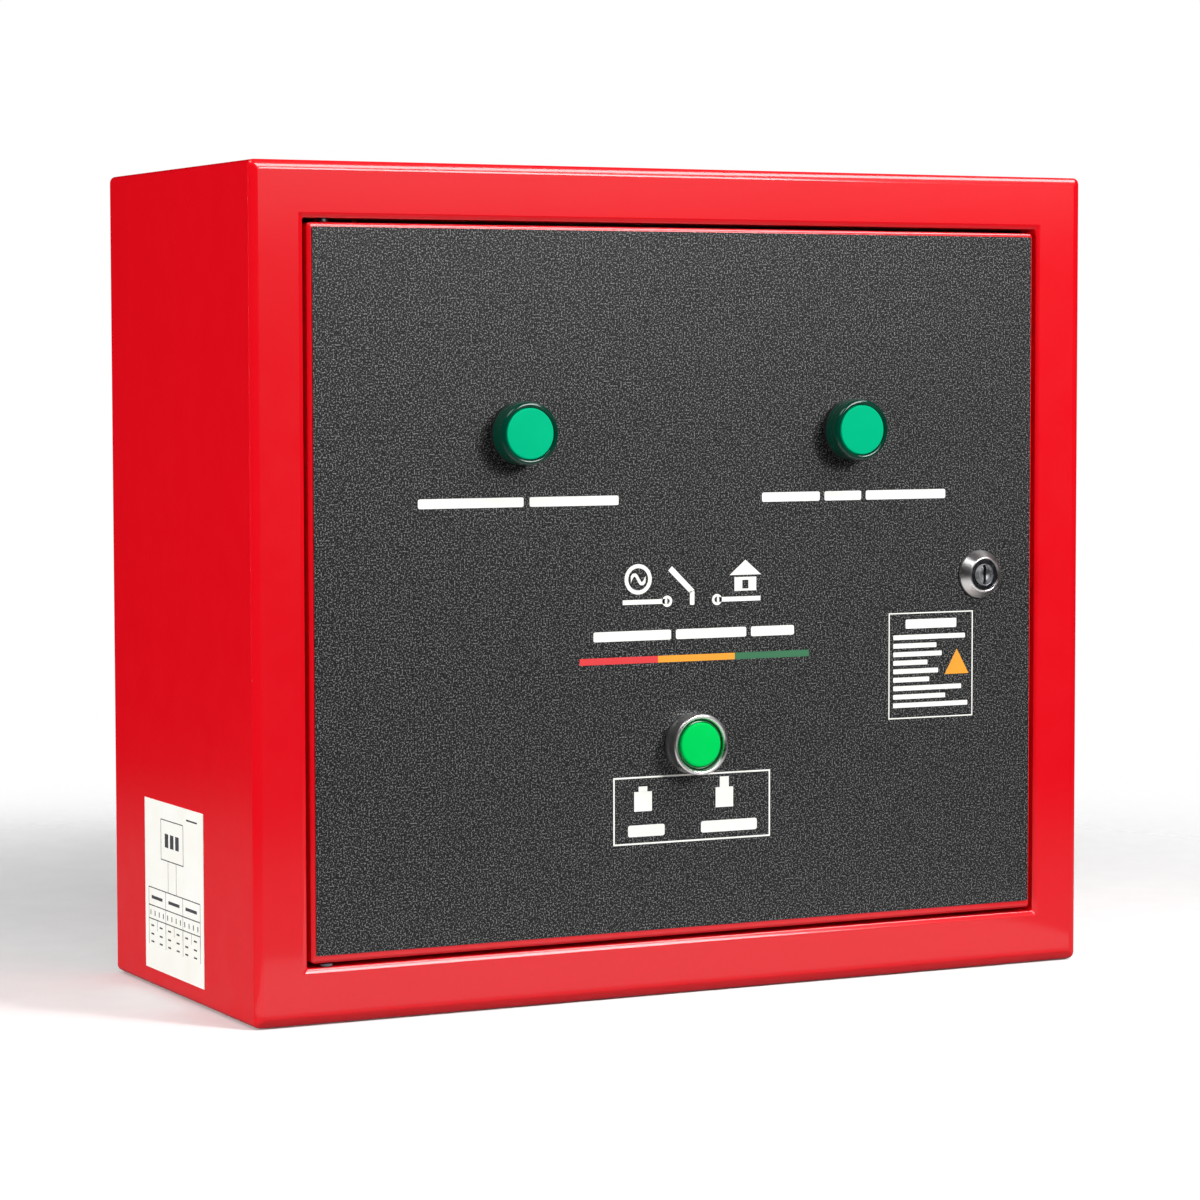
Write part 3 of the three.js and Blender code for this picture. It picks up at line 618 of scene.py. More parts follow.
def cable_tie(point, tangent, radius):
    """Nylon tie round a bundle with its square head."""
    band = revolved([(radius - 0.2, -1.2), (radius + 0.7, -1.2), (radius + 0.7, 1.2), (radius - 0.2, 1.2)],
                    (0, 0, 0), 32)
    head = slab((radius, -2, -2.2), (radius + 3, 2, 2.2), 0.5)
    tie = joined(band, head)
    turn = Vector((0, 1, 0)).rotation_difference(tangent).to_matrix().to_4x4()
    tie.transform(Matrix.Translation(point) @ turn)
    return tie


def bundle(name, node, points, wires, radius, offset, starts=None, ends=None, fan=34, ties=()):
    """Wires lying together along a route, held by ties; wires lists the finish of each wire.
    At starts and ends the wires fan out, over the length fan, to places given from the route's end."""
    route = smooth_route(points)
    count = len(wires)
    meshes = {}
    for k, key in enumerate(wires):
        start = starts[k] if starts else None
        end = ends[k] if ends else None
        line = strand(route, offset, 2 * pi * k / count, start, end, fan)
        meshes.setdefault(key, []).append(tube_mesh(line, radius, 10))
    for key, parts in meshes.items():
        swap(f"{name}_{key}", joined(*parts), key, node)
    frames = frames_along(route)
    for k, share in enumerate(ties):
        point, tangent = frames[int(share * (len(frames) - 1))][:2]
        tie = cable_tie(point, tangent, offset + radius)
        detail(f"{name}_tie_{k + 1}", tie, "black", frame["nodes"][node]["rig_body"], "black_plastic")


# ---- enclosure -------------------------------------------------------------------------------
SHEET = 1.5
case_low, case_high = box_of("enclosure_body")
door_low, door_high = box_of("door_panel")
film_low, film_high = box_of("door_overlay")
CASE_MIDDLE = (case_low + case_high) / 2
HALF_W = (case_high.x - case_low.x) / 2
HALF_H = (case_high.z - case_low.z) / 2
FRONT = case_low.y
DOOR_GAP = 2
MARGIN = HALF_W - (door_high.x + DOOR_GAP)
RETURN_END = FRONT + 18


def three_sides(x0, x1, z0, z1, width):
    """Outline of a flat strip along the top, right and bottom of a rectangle."""
    return [(x0, z1), (x1, z1), (x1, z0), (x0, z0), (x0, z0 + width), (x1 - width, z0 + width),
            (x1 - width, z1 - width), (x0, z1 - width)]


def enclosure():
    fold, fold_depth, rolled, rolled_depth = 4.2, 2.1, 2.4, 1.2
    profile = [(0, 0)]
    profile += bend(fold, FRONT + fold_depth, fold, fold_depth, 180)
    profile += bend(MARGIN - rolled, FRONT + rolled_depth, rolled, rolled_depth, 270)
    profile += [(MARGIN, RETURN_END), (MARGIN - SHEET, RETURN_END), (MARGIN - SHEET, FRONT + SHEET),
                (SHEET, FRONT + SHEET), (SHEET, 0)]
    shell = folded(CASE_MIDDLE, HALF_W, HALF_H, profile, lambda inset: max(3 - inset, 0.9))
    gland_low, gland_high = box_of("gland_plate")
    lap = 10
    entry = slab((gland_low.x + lap, gland_low.y + lap, case_low.z - 5),
                 (gland_high.x - lap, gland_high.y - lap, case_low.z + 5), 0)
    shell = carve(shell, entry)
    seal_low = box_of("door_seal")[0]
    lip = 8
    outline = three_sides(seal_low.x - 2, HALF_W - MARGIN, door_low.z - DOOR_GAP,
                          door_high.z + DOOR_GAP, lip)
    strip = cut_sheet([outline], RETURN_END - SHEET, RETURN_END)
    swap("enclosure_shell", joined(shell, strip), "red", "enclosure_body")


def rear_panel():
    low, high = box_of("rear_panel")
    inset_x, inset_z, radius = 33.2, 33.2, 4.5
    holes = [circle(x, z, radius, 32) for x in (low.x + inset_x, high.x - inset_x)
             for z in (low.z + inset_z, high.z - inset_z)]
    mesh = cut_sheet([rectangle(low.x, high.x, low.z, high.z, 1.2)] + holes, low.y, high.y, 0.2)
    swap("rear_sheet", mesh, "red", "rear_panel")


# ---- door ------------------------------------------------------------------------------------
DEVICES = {"lamp_left": 11.3, "lamp_right": 11.3, "button": 11.3, "lock": 9.3}
CENTRE = {"lamp_left": middle("lamp_left_lens"), "lamp_right": middle("lamp_right_lens"),
          "button": middle("button_bezel"), "lock": middle("lock_housing")}
FILM_FACE = film_low.y
for place_of in CENTRE.values():
    place_of.y = FILM_FACE


def door():
    fold, fold_depth, sheet = 1.7, 0.9, 1.2
    half_w = (door_high.x - door_low.x) / 2
    half_h = (door_high.z - door_low.z) / 2
    at = (door_low + door_high) / 2
    face, end = door_low.y, door_high.y
    profile = [(sheet, face + sheet), (sheet, end), (0, end)]
    profile += bend(fold, face + fold_depth, fold, fold_depth, 180)
    pan = folded(at, half_w, half_h, profile, lambda inset: max(1.7 - inset, 0.4), False, True)
    tools = [rod(radius, CENTRE[name], -5, 6, segments=64) for name, radius in DEVICES.items()]
    swap("door_pan", carve(pan, *tools), "red", "door_panel")
    loops = [rectangle(film_low.x, film_high.x, film_low.z, film_high.z, 0.8)]
    loops += [circle(CENTRE[name].x, CENTRE[name].z, radius) for name, radius in DEVICES.items()]
    film = cut_sheet(loops, film_low.y, film_high.y, 0.06)
    swap("front_film", film, "overlay", "door_overlay")


# ---- lamps, button and lock --------------------------------------------------------------------
def lamp(side):
    at = CENTRE[f"lamp_{side}"]
    rim = [(11.9, -2.6), (14.1, -2.6), (14.5, -2.9), (14.5, -4.6), (14.2, -4.9), (14.2, -5.4),
           (14.5, -5.7), (14.5, -7.3), (14.2, -7.6), (14.2, -8.1), (14.4, -8.4), (14.35, -9.9),
           (14.15, -10.8), (13.7, -11.4), (13.1, -11.7), (12.4, -11.7), (11.9, -11.3), (11.7, -10.7),
           (11.6, -8.4), (11.9, -8.4)]
    face = [(0, -11.9), (10.9, -11.9), (11.3, -11.75), (11.5, -11.4), (11.5, -9), (0, -9)]
    for part, profile, key in (("rim", rim, "lens"), ("face", face, "lens_face")):
        swap(f"lamp_{side}_{part}", revolved(profile, at, 96), key, f"lamp_{side}_lens", 50)
    collar = [(0, -8), (11.4, -8), (11.4, -2.3), (13.7, -2.3), (14.2, -1.9), (14.2, -0.35), (13.9, -0.1),
              (11.0, -0.1), (11.0, 2)]
    for turn in range(17):
        y = 2 + 1.5 * turn
        collar += [(11.0, y), (11.0, y + 0.4), (10.5, y + 0.9), (10.5, y + 1.1)]
    collar += [(11.0, 28), (11.0, 30), (9.5, 30.2), (9.5, 34), (0, 34)]
    barrel = revolved(collar, at, 64)
    posts = [rod(2, at + Vector((dx, 0, 0)), 33, 39, segments=20) for dx in (-4.5, 4.5)]
    swap(f"lamp_{side}_barrel", joined(barrel, *posts), "black", f"lamp_{side}_body")


def button():
    at = CENTRE["button"]
    bezel = [(11.45, -0.3), (14.1, -0.1), (14.2, -0.4), (14.2, -1.5), (13.9, -2.0), (13.7, -2.8),
             (13.6, -4.2), (13.7, -5.8), (14.0, -7.4), (14.2, -8.2), (14.15, -8.9), (13.8, -9.4),
             (13.3, -9.6), (12.7, -9.5), (12.2, -9.0), (11.8, -8.2), (11.5, -7.2)]
    swap("button_chrome", revolved(bezel, at, 128), "chrome", "button_bezel", 60)
    face = [(0, -9.1), (9.2, -9.0), (9.9, -8.8), (10.2, -8.4), (10.3, -7.9), (10.3, -7.0), (5.8, -6),
            (5.8, 26), (0, 26)]
    skirt = [(10.3, -7.6), (10.6, -7.9), (11.0, -7.8), (11.3, -7.4), (11.3, -6), (7, -6), (7, -6.6),
             (10.3, -6.9)]
    # The cap face takes the cap material, whose emission is a painted glow.
    for part, profile, key in (("face", face, "cap"), ("skirt", skirt, "skirt")):
        swap(f"button_cap_{part}", revolved(profile, at, 96), key, "button_cap", 40)


def button_spring():
    """Return spring round the cap's stem."""
    at = CENTRE["button"]
    turns, radius, gauge, front, seat = 5, 7.5, 0.5, -5.3, 11.3
    route = []
    for i in range(40 * turns + 1):
        share = i / (40 * turns)
        angle = 2 * pi * turns * share
        route.append(at + Vector((radius * cos(angle), front + (seat - front) * share,
                                  radius * sin(angle))))
    coil = swap("button_coil", tube_mesh(route, gauge, 12), "zinc", "button_spring", 50)
    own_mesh(coil)


def lock():
    at = CENTRE["lock"]
    housing = [(5.35, -4.7), (7.3, -4.7), (7.5, -4.9), (7.6, -5.5), (7.9, -5.65), (8.3, -5.5), (8.6, -5.0),
               (11.2, -1.5), (11.5, -1.0), (11.5, -0.35), (11.3, -0.1), (9, -0.1), (9, 18), (5.35, 18)]
    swap("lock_shell", revolved(housing, at, 96), "chrome", "lock_housing", 40)
    plug = [(0, -4.9), (2.6, -5.3), (3.5, -5.25), (3.7, -4.8), (5.1, -4.75), (5.1, 17.9), (0, 17.9)]
    slot_tool = slab((at.x - 0.8, at.y - 10, at.z - 4.6), (at.x + 0.8, at.y + 4, at.z + 4.6), 0.3)
    tail = slab((at.x - 3, at.y + 17, at.z - 3), (at.x + 3, at.y + 21.2, at.z + 3), 0.3)
    barrel = carve(revolved(plug, at, 64), slot_tool)
    swap("lock_barrel", joined(barrel, tail), "zinc", "lock_plug", 40)
    dark = [(5.3, -4.6), (7.25, -4.75), (7.3, -4.85), (5.4, -4.95), (5.2, -4.85)]
    detail("lock_face_ring", revolved(dark, at, 96), "dark_metal", "door", "chrome", 40)


# ---- back plate, rails and fixings ---------------------------------------------------------------
STANDOFF = (155, 130)
PLATE_HOLE = 3.4
RAIL_SLOT_PITCH = 25


def backplane():
    low, high = box_of("mounting_plate")
    holes = [circle(x, z, PLATE_HOLE, 32) for x in (-STANDOFF[0], STANDOFF[0])
             for z in (-STANDOFF[1], STANDOFF[1])]
    sheet = cut_sheet([rectangle(low.x, high.x, low.z, high.z, 4, 8)] + holes, low.y, high.y, 0.3)
    swap("back_plate", sheet, "galvanised", "mounting_plate")
    for row in ("upper", "lower"):
        low, high = box_of(f"din_rail_{row}")
        z, half, web, sheet = (low.z + high.z) / 2, (high.z - low.z) / 2, 12.5, 1
        half_outline = [(high.y, web - 1), (high.y - 1, web), (low.y + 1.6, web), (low.y + 1, web + 0.6),
                        (low.y + 1, half), (low.y, half), (low.y, web - 0.2), (low.y + 0.8, web - sheet),
                        (high.y - 1.6, web - sheet), (high.y - sheet, web - 1.6)]
        outline = [(y, z + v) for y, v in half_outline] + [(y, z - v) for y, v in reversed(half_outline)]
        slots = [rectangle(x - 7.5, x + 7.5, z - 2.6, z + 2.6, 2.6, 6)
                 for x in range(int(low.x) + 20, int(high.x) - 10, RAIL_SLOT_PITCH)]
        punches = joined(*[cut_sheet([loop], high.y - 3, high.y + 1) for loop in slots])
        rail = carve(cut_sheet([outline], low.x, high.x, 0.1, side=True), punches)
        swap(f"rail_{row}", rail, "rail", f"din_rail_{row}")
    for n in (1, 2, 3, 4):
        low, high, x, z = layout(f"plate_standoff_{n}")
        plate_rear = box_of("mounting_plate")[1].y
        spacer = cut_sheet([hexagon(x, z, 10)], plate_rear + 0.3, high.y, 0.4)
        stud = threaded(3, low.y, plate_rear + 1, (x, 0, z))
        swap(f"spacer_{n}", joined(spacer, stud), "zinc", f"plate_standoff_{n}")
        low, high = box_of(f"plate_nut_{n}")
        nut = hex_nut(x, z, 10, 3.1, low.y, high.y - 0.9)
        washer = cut_sheet([circle(x, z, 6.2), circle(x, z, 3.2, 40)], high.y - 0.9, high.y, 0.15)
        swap(f"spacer_nut_{n}", joined(nut, washer), "zinc", f"plate_nut_{n}")
    low, high, x, z = layout("earth_stud")
    seat = high.y
    stud = threaded(4, low.y, seat - 0.5, (x, 0, z))
    washers = [cut_sheet([circle(x, z, 9)], seat - 1.6, seat, 0.25),
               cut_sheet([circle(x, z, 7.4)], seat - 10.2, seat - 8.8, 0.25)]
    nuts = [hex_nut(x, z, 13, 3.9, seat - 8, seat - 1.8), hex_nut(x, z, 13, 3.9, seat - 17, seat - 10.6)]
    swap("earth_terminal", joined(stud, *washers, *nuts), "brass", "earth_stud")


def cable_entry():
    low, high = box_of("gland_plate")
    plate = slab(low, high, 0.3)
    at_y = (low.y + high.y) / 2
    grommets = ("grommet_house", "grommet_output", "grommet_generator")
    holes = [rod(11, (middle(node).x, at_y, 0), low.z - 4, high.z + 4, "Z") for node in grommets]
    stud_x = middle("gland_plate_nut_right").x
    holes += [rod(2.4, (x, at_y, 0), low.z - 4, high.z + 4, "Z", 24) for x in (-stud_x, stud_x)]
    swap("gland_sheet", carve(plate, joined(*holes)), "galvanised", "gland_plate")
    for node in grommets:
        at = middle(node)
        at.z = case_low.z
        section = [(0, 2.4), (7.4, 2.4), (8.0, 2.1), (8.4, 1.4), (8.8, 0.5), (9.6, 0.2), (12.8, 0.2),
                   (13.6, 0.5), (13.9, 1.1), (13.9, 1.5), (10.7, 1.5), (10.7, 3.6), (12.6, 3.6), (13.0, 4.1),
                   (12.6, 5.2), (11.2, 7.3), (9.4, 7.5), (8.6, 7.2), (8.2, 4.6), (7.6, 3.6), (5, 3.4),
                   (4.6, 3.0), (4.2, 3.4), (0, 3.4)]
        swap(f"{node}_moulding", revolved(section, at, 72, "Z"), "rubber", node, 50)
    for side in ("left", "right"):
        node = f"gland_plate_nut_{side}"
        low, high = box_of(node)
        nut = cut_sheet([hexagon(0, 0, 7), circle(0, 0, 2.1, 32)], -high.z, -low.z, 0.35)
        turned_to(nut, "Z")
        nut.transform(Matrix.Translation((middle(node).x, at_y, 0)))
        swap(f"{node}_hex", nut, "zinc", node)


# ---- rail-mounted devices ------------------------------------------------------------------------
DEVICE_BACK = -22
RAIL_GAP = (-28.3, 18)
POLES = (-1.5, -0.5, 0.5, 1.5)
CONTROL_POLES = (-2.5, -1.5, -0.5, 0.5, 1.5, 2.5)


def device(name, node, steps, key, wells, entries, pocket=None, edge=0.6):
    """Moulded body clipped on a rail: steps holds the upper half of its outline in (y, z);
    wells and entries are (radius, depth range, places)."""
    low, high, x, z = layout(node)
    half = [(y, z + v) for y, v in steps]
    outline = half + [(y, z - v) for y, v in reversed(steps)]
    body = cut_sheet([outline], low.x, high.x, edge, side=True)
    front_y, half_slot = RAIL_GAP
    tools = [slab((low.x - 5, front_y, z - half_slot), (high.x + 5, 0, z + half_slot), 0)]
    radius, (near, far), places = wells
    tools += [rod(radius, (x + u, 0, z + v), near, far, segments=24) for u, v in places]
    radius, depth, y, places = entries
    tools += [rod(radius, (x + u, y, z + v), -depth, depth, "Z", 24) for u, v in places]
    if pocket:
        half_w, half_h = pocket
        tools.append(slab((x - half_w, low.y - 5, z - half_h), (x + half_w, low.y + 20, z + half_h), 0))
    swap(name, carve(body, joined(*tools)), key, node)
    head_radius = 0.82 * wells[0]
    heads = copies(screw_head(head_radius), [(x + u, wells[1][1] - 0.2, z + v) for u, v in wells[2]])
    detail(f"{name}_screws", heads, "zinc", "root", "zinc_plate")
    return x, z, low


def plate_label(name, x0, x1, z0, z1, y, bars, key="ink"):
    """Small printed plate on a device face, with bars as (x, z, length, height) from its corner."""
    plate = cut_sheet([rectangle(x0, x1, z0, z1, 0.6)], y - 0.25, y + 0.1, 0.06)
    detail(f"{name}_plate", plate, "paper", "root", "label_paper")
    marks = [cut_sheet([rectangle(x0 + u, x0 + u + w, z0 + v, z0 + v + h)], y - 0.3, y - 0.2)
             for u, v, w, h in bars]
    detail(f"{name}_print", joined(*marks), key, "root", "label_paper")


def contactor(circuit):
    name = f"{circuit}_contactor"
    steps = [(DEVICE_BACK, 42), (-59.4, 42), (-60.6, 41), (-61.2, 30.4), (-62, 30), (-91.4, 30),
             (-92.4, 29.2), (-93.2, 22.4), (-94, 22), (-105.2, 22), (-106, 21.2)]
    places = [(10 * pole, 36 * row) for pole in POLES for row in (-1, 1)]
    holes = [(10 * pole, 42 * row) for pole in POLES for row in (-1, 1)]
    x, z, low = device(f"{name}_moulding", f"{name}_body", steps, "grey",
                             (3.4, (-70, -54), places), (3, 8, -49, holes), (8, 6))
    plate_label(name, x - 18, x + 18, z + 10, z + 18, low.y,
                [(2, 2, 9, 1.2), (2, 4.6, 14, 1.4), (22, 2, 12, 4)])
    fins = []
    for u in (x - 10, x, x + 10):
        for v in (z - 30.5, z + 30.5):
            fins.append(slab((u - 0.7, -61.6, v - 5), (u + 0.7, -58, v + 5), 0.3))
    detail(f"{name}_barriers", joined(*fins), "grey", "root", "grey_plastic")
    low, high = box_of(f"{name}_armature")
    shuttle = slab((low.x, low.y + 0.8, low.z), (high.x, high.y, high.z), 0.5)
    ridges = [slab((x - 5, low.y, z + v - 0.5), (x + 5, low.y + 1.5, z + v + 0.5), 0.2)
              for v in (-2.4, 0, 2.4)]
    swap(f"{name}_shuttle", joined(shuttle, *ridges), "black", f"{name}_armature")


def interlock():
    low, high, x, z = layout("interlock_block")
    body = slab((low.x, -88, low.z), (high.x, high.y, high.z), 0.8)
    nose = slab((low.x, low.y, z - 9), (high.x, -80, z + 9), 0.8)
    swap("interlock_housing", joined(body, nose), "black", "interlock_block")
    points = [[(x, z + s * 7.5), (x + 2.6, z + s * 3), (x - 2.6, z + s * 3)] for s in (-1, 1)]
    arrows = joined(*[cut_sheet([p], low.y - 0.12, low.y + 0.1) for p in points])
    detail("interlock_arrows", arrows, "white_ink", "root", "black_plastic")


def relay_module():
    steps = [(DEVICE_BACK, 44), (-63.4, 44), (-64.4, 43), (-65, 23), (-65.8, 22.5), (-77.2, 22.5),
             (-78, 21.7)]
    places = [(8 * pole, 36 * row) for pole in CONTROL_POLES for row in (-1, 1)]
    x, z, low = device("control_module_moulding", "control_module", steps, "cream",
                             (2.6, (-70, -58), places), (2, 4, -46, [(u, 44 * v / 36) for u, v in places]))
    for k, v in enumerate((-11, 11)):
        knob = [(0, -3.6), (2.2, -3.6), (2.6, -3.2), (2.9, -0.6), (4.4, -0.4), (4.6, 0.4), (0, 0.4)]
        at = (x - 12, low.y, z + v)
        pointer = slab((x - 12.3, low.y - 3.9, z + v), (x - 11.7, low.y - 3.4, z + v + 2.4), 0)
        dial = joined(revolved(knob, at, 40), pointer)
        detail(f"control_module_dial_{k + 1}", dial, "blue", "root", "toggle_plastic")
        ticks = []
        for step in range(9):
            angle = radians(-130 + 260 * step / 8)
            u, w = sin(angle), cos(angle)
            ticks.append(cut_sheet([[(x - 12 + 5.4 * u - 0.2 * w, z + v + 5.4 * w + 0.2 * u),
                                     (x - 12 + 5.4 * u + 0.2 * w, z + v + 5.4 * w - 0.2 * u),
                                     (x - 12 + 6.6 * u + 0.2 * w, z + v + 6.6 * w - 0.2 * u),
                                     (x - 12 + 6.6 * u - 0.2 * w, z + v + 6.6 * w + 0.2 * u)]],
                                   low.y - 0.08, low.y + 0.1))
        detail(f"control_module_scale_{k + 1}", joined(*ticks), "ink", "root", "label_paper")
    for k, key in enumerate(("cap", "amber_ink", "red_ink")):
        dome = [(0, -1.6), (1.0, -1.4), (1.5, -0.8), (1.6, 0.3), (0, 0.3)]
        led = revolved(dome, (x + 16, low.y, z + 12 - 7 * k), 32)
        detail(f"control_module_led_{k + 1}", led, key, "root", "green_lens")
    plate_label("control_module", x + 3, x + 12, z - 5, z + 15, low.y,
                [(1.5, 16, 6, 1.2), (1.5, 9, 5, 1.2), (1.5, 2, 6.4, 1.2)])


def breaker():
    steps = [(DEVICE_BACK, 42), (-65.4, 42), (-66.4, 41), (-67, 23), (-67.8, 22.5), (-77.2, 22.5),
             (-78, 21.7)]
    places = [(0, 34 * row) for row in (-1, 1)]
    low, high, x, z = layout("control_breaker")
    pivot = Vector(joint("control_breaker_switch")["pos_m"]) / MM
    device("control_breaker_moulding", "control_breaker", steps, "cream", (3, (-72, -60), places),
           (2.8, 8, -48, [(0, 42 * row) for row in (-1, 1)]), (5.5, 6.7))
    tilt = radians(38)
    profile = [(0, -4.8), (5.6, -4.8), (6, -4.4), (6, 4.4), (5.6, 4.8), (0, 4.8)]
    drum = turned_to(revolved(profile, (0, 0, 0), 48), "X")
    lever = slab((-4.3, -17, -1.6), (4.3, -3, 1.6), 0.8, 3)
    ribs = [slab((-4.3, -y - 0.4, -2), (4.3, -y + 0.4, 2), 0.3) for y in (10, 12, 14)]
    toggle = joined(drum, lever, *ribs)
    toggle.transform(Matrix.Translation(pivot) @ Matrix.Rotation(-tilt, 4, "X"))
    swap("breaker_lever", toggle, "blue", "control_breaker_toggle")
    plate_label("control_breaker", x - 6.5, x + 6.5, z + 10, z + 19, low.y,
                [(1.5, 2, 7, 1), (1.5, 4.6, 9.6, 1.4)])


TERMINAL_PITCH = 10.4


def terminals(circuit):
    node = f"terminal_{circuit}"
    steps = [(DEVICE_BACK, 24), (-51.4, 24), (-52.2, 23.6), (-61.4, 14.4), (-62, 13.4)]
    places = [(TERMINAL_PITCH * pole, 9 * row) for pole in POLES for row in (-1, 1)]
    holes = [(TERMINAL_PITCH * pole, 24 * row) for pole in POLES for row in (-1, 1)]
    x, z, low = device(f"{node}_moulding", node, steps, "cream", (3, (-70, -54), places),
                       (3.2, 8, -42, holes))
    walls = [slab((u - 0.5, low.y - 0.2, z - 13.4), (u + 0.5, -55, z + 13.4), 0.25)
             for u in (x - TERMINAL_PITCH, x, x + TERMINAL_PITCH)]
    detail(f"{node}_barriers", joined(*walls), "grey", "root", "grey_plastic")
    strip = cut_sheet([rectangle(x - 19, x + 19, z - 2, z + 2, 0.4)], low.y - 0.3, low.y + 0.1, 0.08)
    detail(f"{node}_marking_strip", strip, "paper", "root", "label_paper")


# ---- wiring --------------------------------------------------------------------------------------
POWER_WIRES = ("wire_brown", "wire_black", "wire_grey", "wire_blue")
CONTROL_WIRES = ("wire_black", "wire_grey", "wire_brown", "wire_black", "wire_blue", "wire_grey")
HOUSE_X, GENERATOR_X, TERMINAL_X = -87.5, -30.5, 87.5
TERMINAL_TOP, CONTACTOR_FOOT, CONTACTOR_HEAD = -70, 32, 118


def fan_of(pitch, y, z):
    return [Vector((pitch * pole, y, z)) for pole in POLES]


def wiring():
    at_terminal = fan_of(TERMINAL_PITCH, 2, -4)
    bundle("house_wires", "loom_house",
           [(HOUSE_X, -44, TERMINAL_TOP), (HOUSE_X, -45, -60), (HOUSE_X, -54, -30), (HOUSE_X, -52, 0),
            (HOUSE_X, -47, 20), (HOUSE_X, -46, CONTACTOR_FOOT)],
           POWER_WIRES, 2.1, 3, at_terminal, fan_of(10, -3, 4), 30, (0.42, 0.62))
    bundle("generator_wires", "loom_generator",
           [(TERMINAL_X, -44, TERMINAL_TOP), (87.2, -45, -58), (70, -58, -38), (20, -64, -30),
            (-15, -62, -22), (-29, -52, -2), (GENERATOR_X, -46, 18), (GENERATOR_X, -46, CONTACTOR_FOOT)],
           POWER_WIRES, 2.1, 3, at_terminal, fan_of(10, -3, 4), 26, (0.25, 0.45, 0.65, 0.82))
    bundle("output_wires", "loom_output",
           [(HOUSE_X, -46, CONTACTOR_HEAD), (HOUSE_X + 2, -46, 130), (-66, -46, 141), (-20, -46, 142),
            (2, -46, 130), (7, -44, 100), (7, -42, 40), (3, -42, -30), (0, -43, -56), (0, -44, TERMINAL_TOP)],
           POWER_WIRES, 2.1, 3, fan_of(10, -3, -4), at_terminal, 22, (0.12, 0.3, 0.5, 0.7, 0.88))
    bundle("output_bridge_wires", "loom_output",
           [(GENERATOR_X, -46, CONTACTOR_HEAD), (GENERATOR_X, -46, 130), (GENERATOR_X + 2, -46, 141)],
           POWER_WIRES, 2.1, 3, fan_of(10, -3, -4), None, 20)
    bundle("control_wires", "control_loom",
           [(50, -42, 29.5), (50, -44, 18), (20, -62, 6), (-40, -72, 2), (-100, -74, 0), (-138, -73, -2),
            (-150, -76, -6), (-154, -84, -9), (-154, -92, -9)],
           CONTROL_WIRES, 1.1, 2.3, [Vector((8 * k, -4, 3)) for k in CONTROL_POLES], None, 34,
           (0.2, 0.36, 0.52, 0.68, 0.84, 0.97))
    bundle("harness_wires", "door_harness",
           [(-121.6, -173, -10), (-110, -173, -8), (-60, -173, 4), (0, -173, 6), (60, -173, 8),
            (80, -172, 20), (92, -164, 36), (96, -150, 50), (94, -139, 62), (90.5, -136.5, 70)],
           CONTROL_WIRES[:5], 1.0, 1.9, None, None, 20, (0.04, 0.2, 0.36, 0.52, 0.68, 0.85))
    bundle("harness_lamp_tail", "door_harness",
           [(-66, -173, 2), (-74, -171, 16), (-72, -160, 36), (-74, -148, 50), (-78, -139.5, 62),
            (-81.5, -137.5, 72)],
           CONTROL_WIRES[:2], 1.0, 1.0, None, None, 10, (0.5,))
    bundle("harness_button_tail", "door_harness",
           [(-8, -173, 5), (-22, -171, -14), (-28, -160, -36), (-26, -140, -54), (-20, -127, -64),
            (-8, -125, -68)],
           CONTROL_WIRES[:3], 1.0, 1.2, None, None, 10, (0.4,))
    for k, x in enumerate((-88, -30, 30)):
        route_z = 5 if x > -60 else -2
        pad = slab((x - 6, -177.2, route_z - 6), (x + 6, -174.6, route_z + 6), 0.6)
        detail(f"harness_mount_{k + 1}", pad, "white_plastic", "door", "cream_plastic")


def hinge_loom():
    """Spiral-wrapped loom that droops between the frame and the door."""
    points = [(-154, -92, -9), (-154, -98, -10), (-154, -106, -24), (-154, -116, -42), (-152, -130, -56),
              (-149, -146, -52), (-145, -160, -36), (-140, -169, -20), (-130, -172.5, -12), (-122, -173, -10)]
    pitch = 7.0

    def wrap(along, angle):
        phase = (along / pitch - angle / (2 * pi)) % 1.0
        return 3.45 if phase < 0.8 else 2.9
    piece = linked("hinge_loom", tube_mesh(smooth_route(points, 0.7), wrap, 20), MATERIALS["sleeve"])
    piece.data.set_sharp_from_angle(angle=radians(50))
    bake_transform(piece)
    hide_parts("door_loom")


# ---- backs of the door devices -------------------------------------------------------------------
def door_backs():
    for node, bore in (("lamp_left_nut", 11), ("lamp_right_nut", 11), ("button_nut", 11), ("lock_nut", 9)):
        low, high, x, z = layout(node)
        key = "zinc" if node == "lock_nut" else "black"
        swap(f"{node}_hex", hex_nut(x, z, high.z - low.z, bore, low.y, high.y, 0.6), key, node)
    at = CENTRE["button"]
    tube_profile = [(9.2, -1.2), (10.8, -1.2), (11, -1.0), (11, 23.6), (10.6, 24), (6.4, 24), (6.4, 12),
                    (9.2, 12)]
    swap("button_tube", revolved(tube_profile, at, 64), "black", "button_housing")
    low, high, x, z = layout("button_contact_block")
    block = slab((low.x, low.y, low.z), (high.x, high.y, high.z), 0.9)
    screw_places = [(x + u, z + v) for u in (-8, 8) for v in (-10, 10)]
    wells = [rod(2.8, (u, 0, v), high.y - 6, high.y + 5, segments=24) for u, v in screw_places]
    waist = [slab((u - 1.2, low.y + 6, z - 20), (u + 1.2, low.y + 9, z + 20), 0) for u in (x - 14, x + 14)]
    bore = rod(6.4, (x, 0, z), low.y - 5, low.y + 9.6)
    swap("contact_block_moulding", carve(block, joined(*wells, *waist, bore)),
         "black", "button_contact_block")
    head = screw_head(2.3)
    head.transform(Matrix.Rotation(pi, 4, "Z"))
    heads = copies(head, [(u, high.y - 5.8, v) for u, v in screw_places])
    detail("contact_block_screws", heads, "zinc", "door", "zinc_plate")


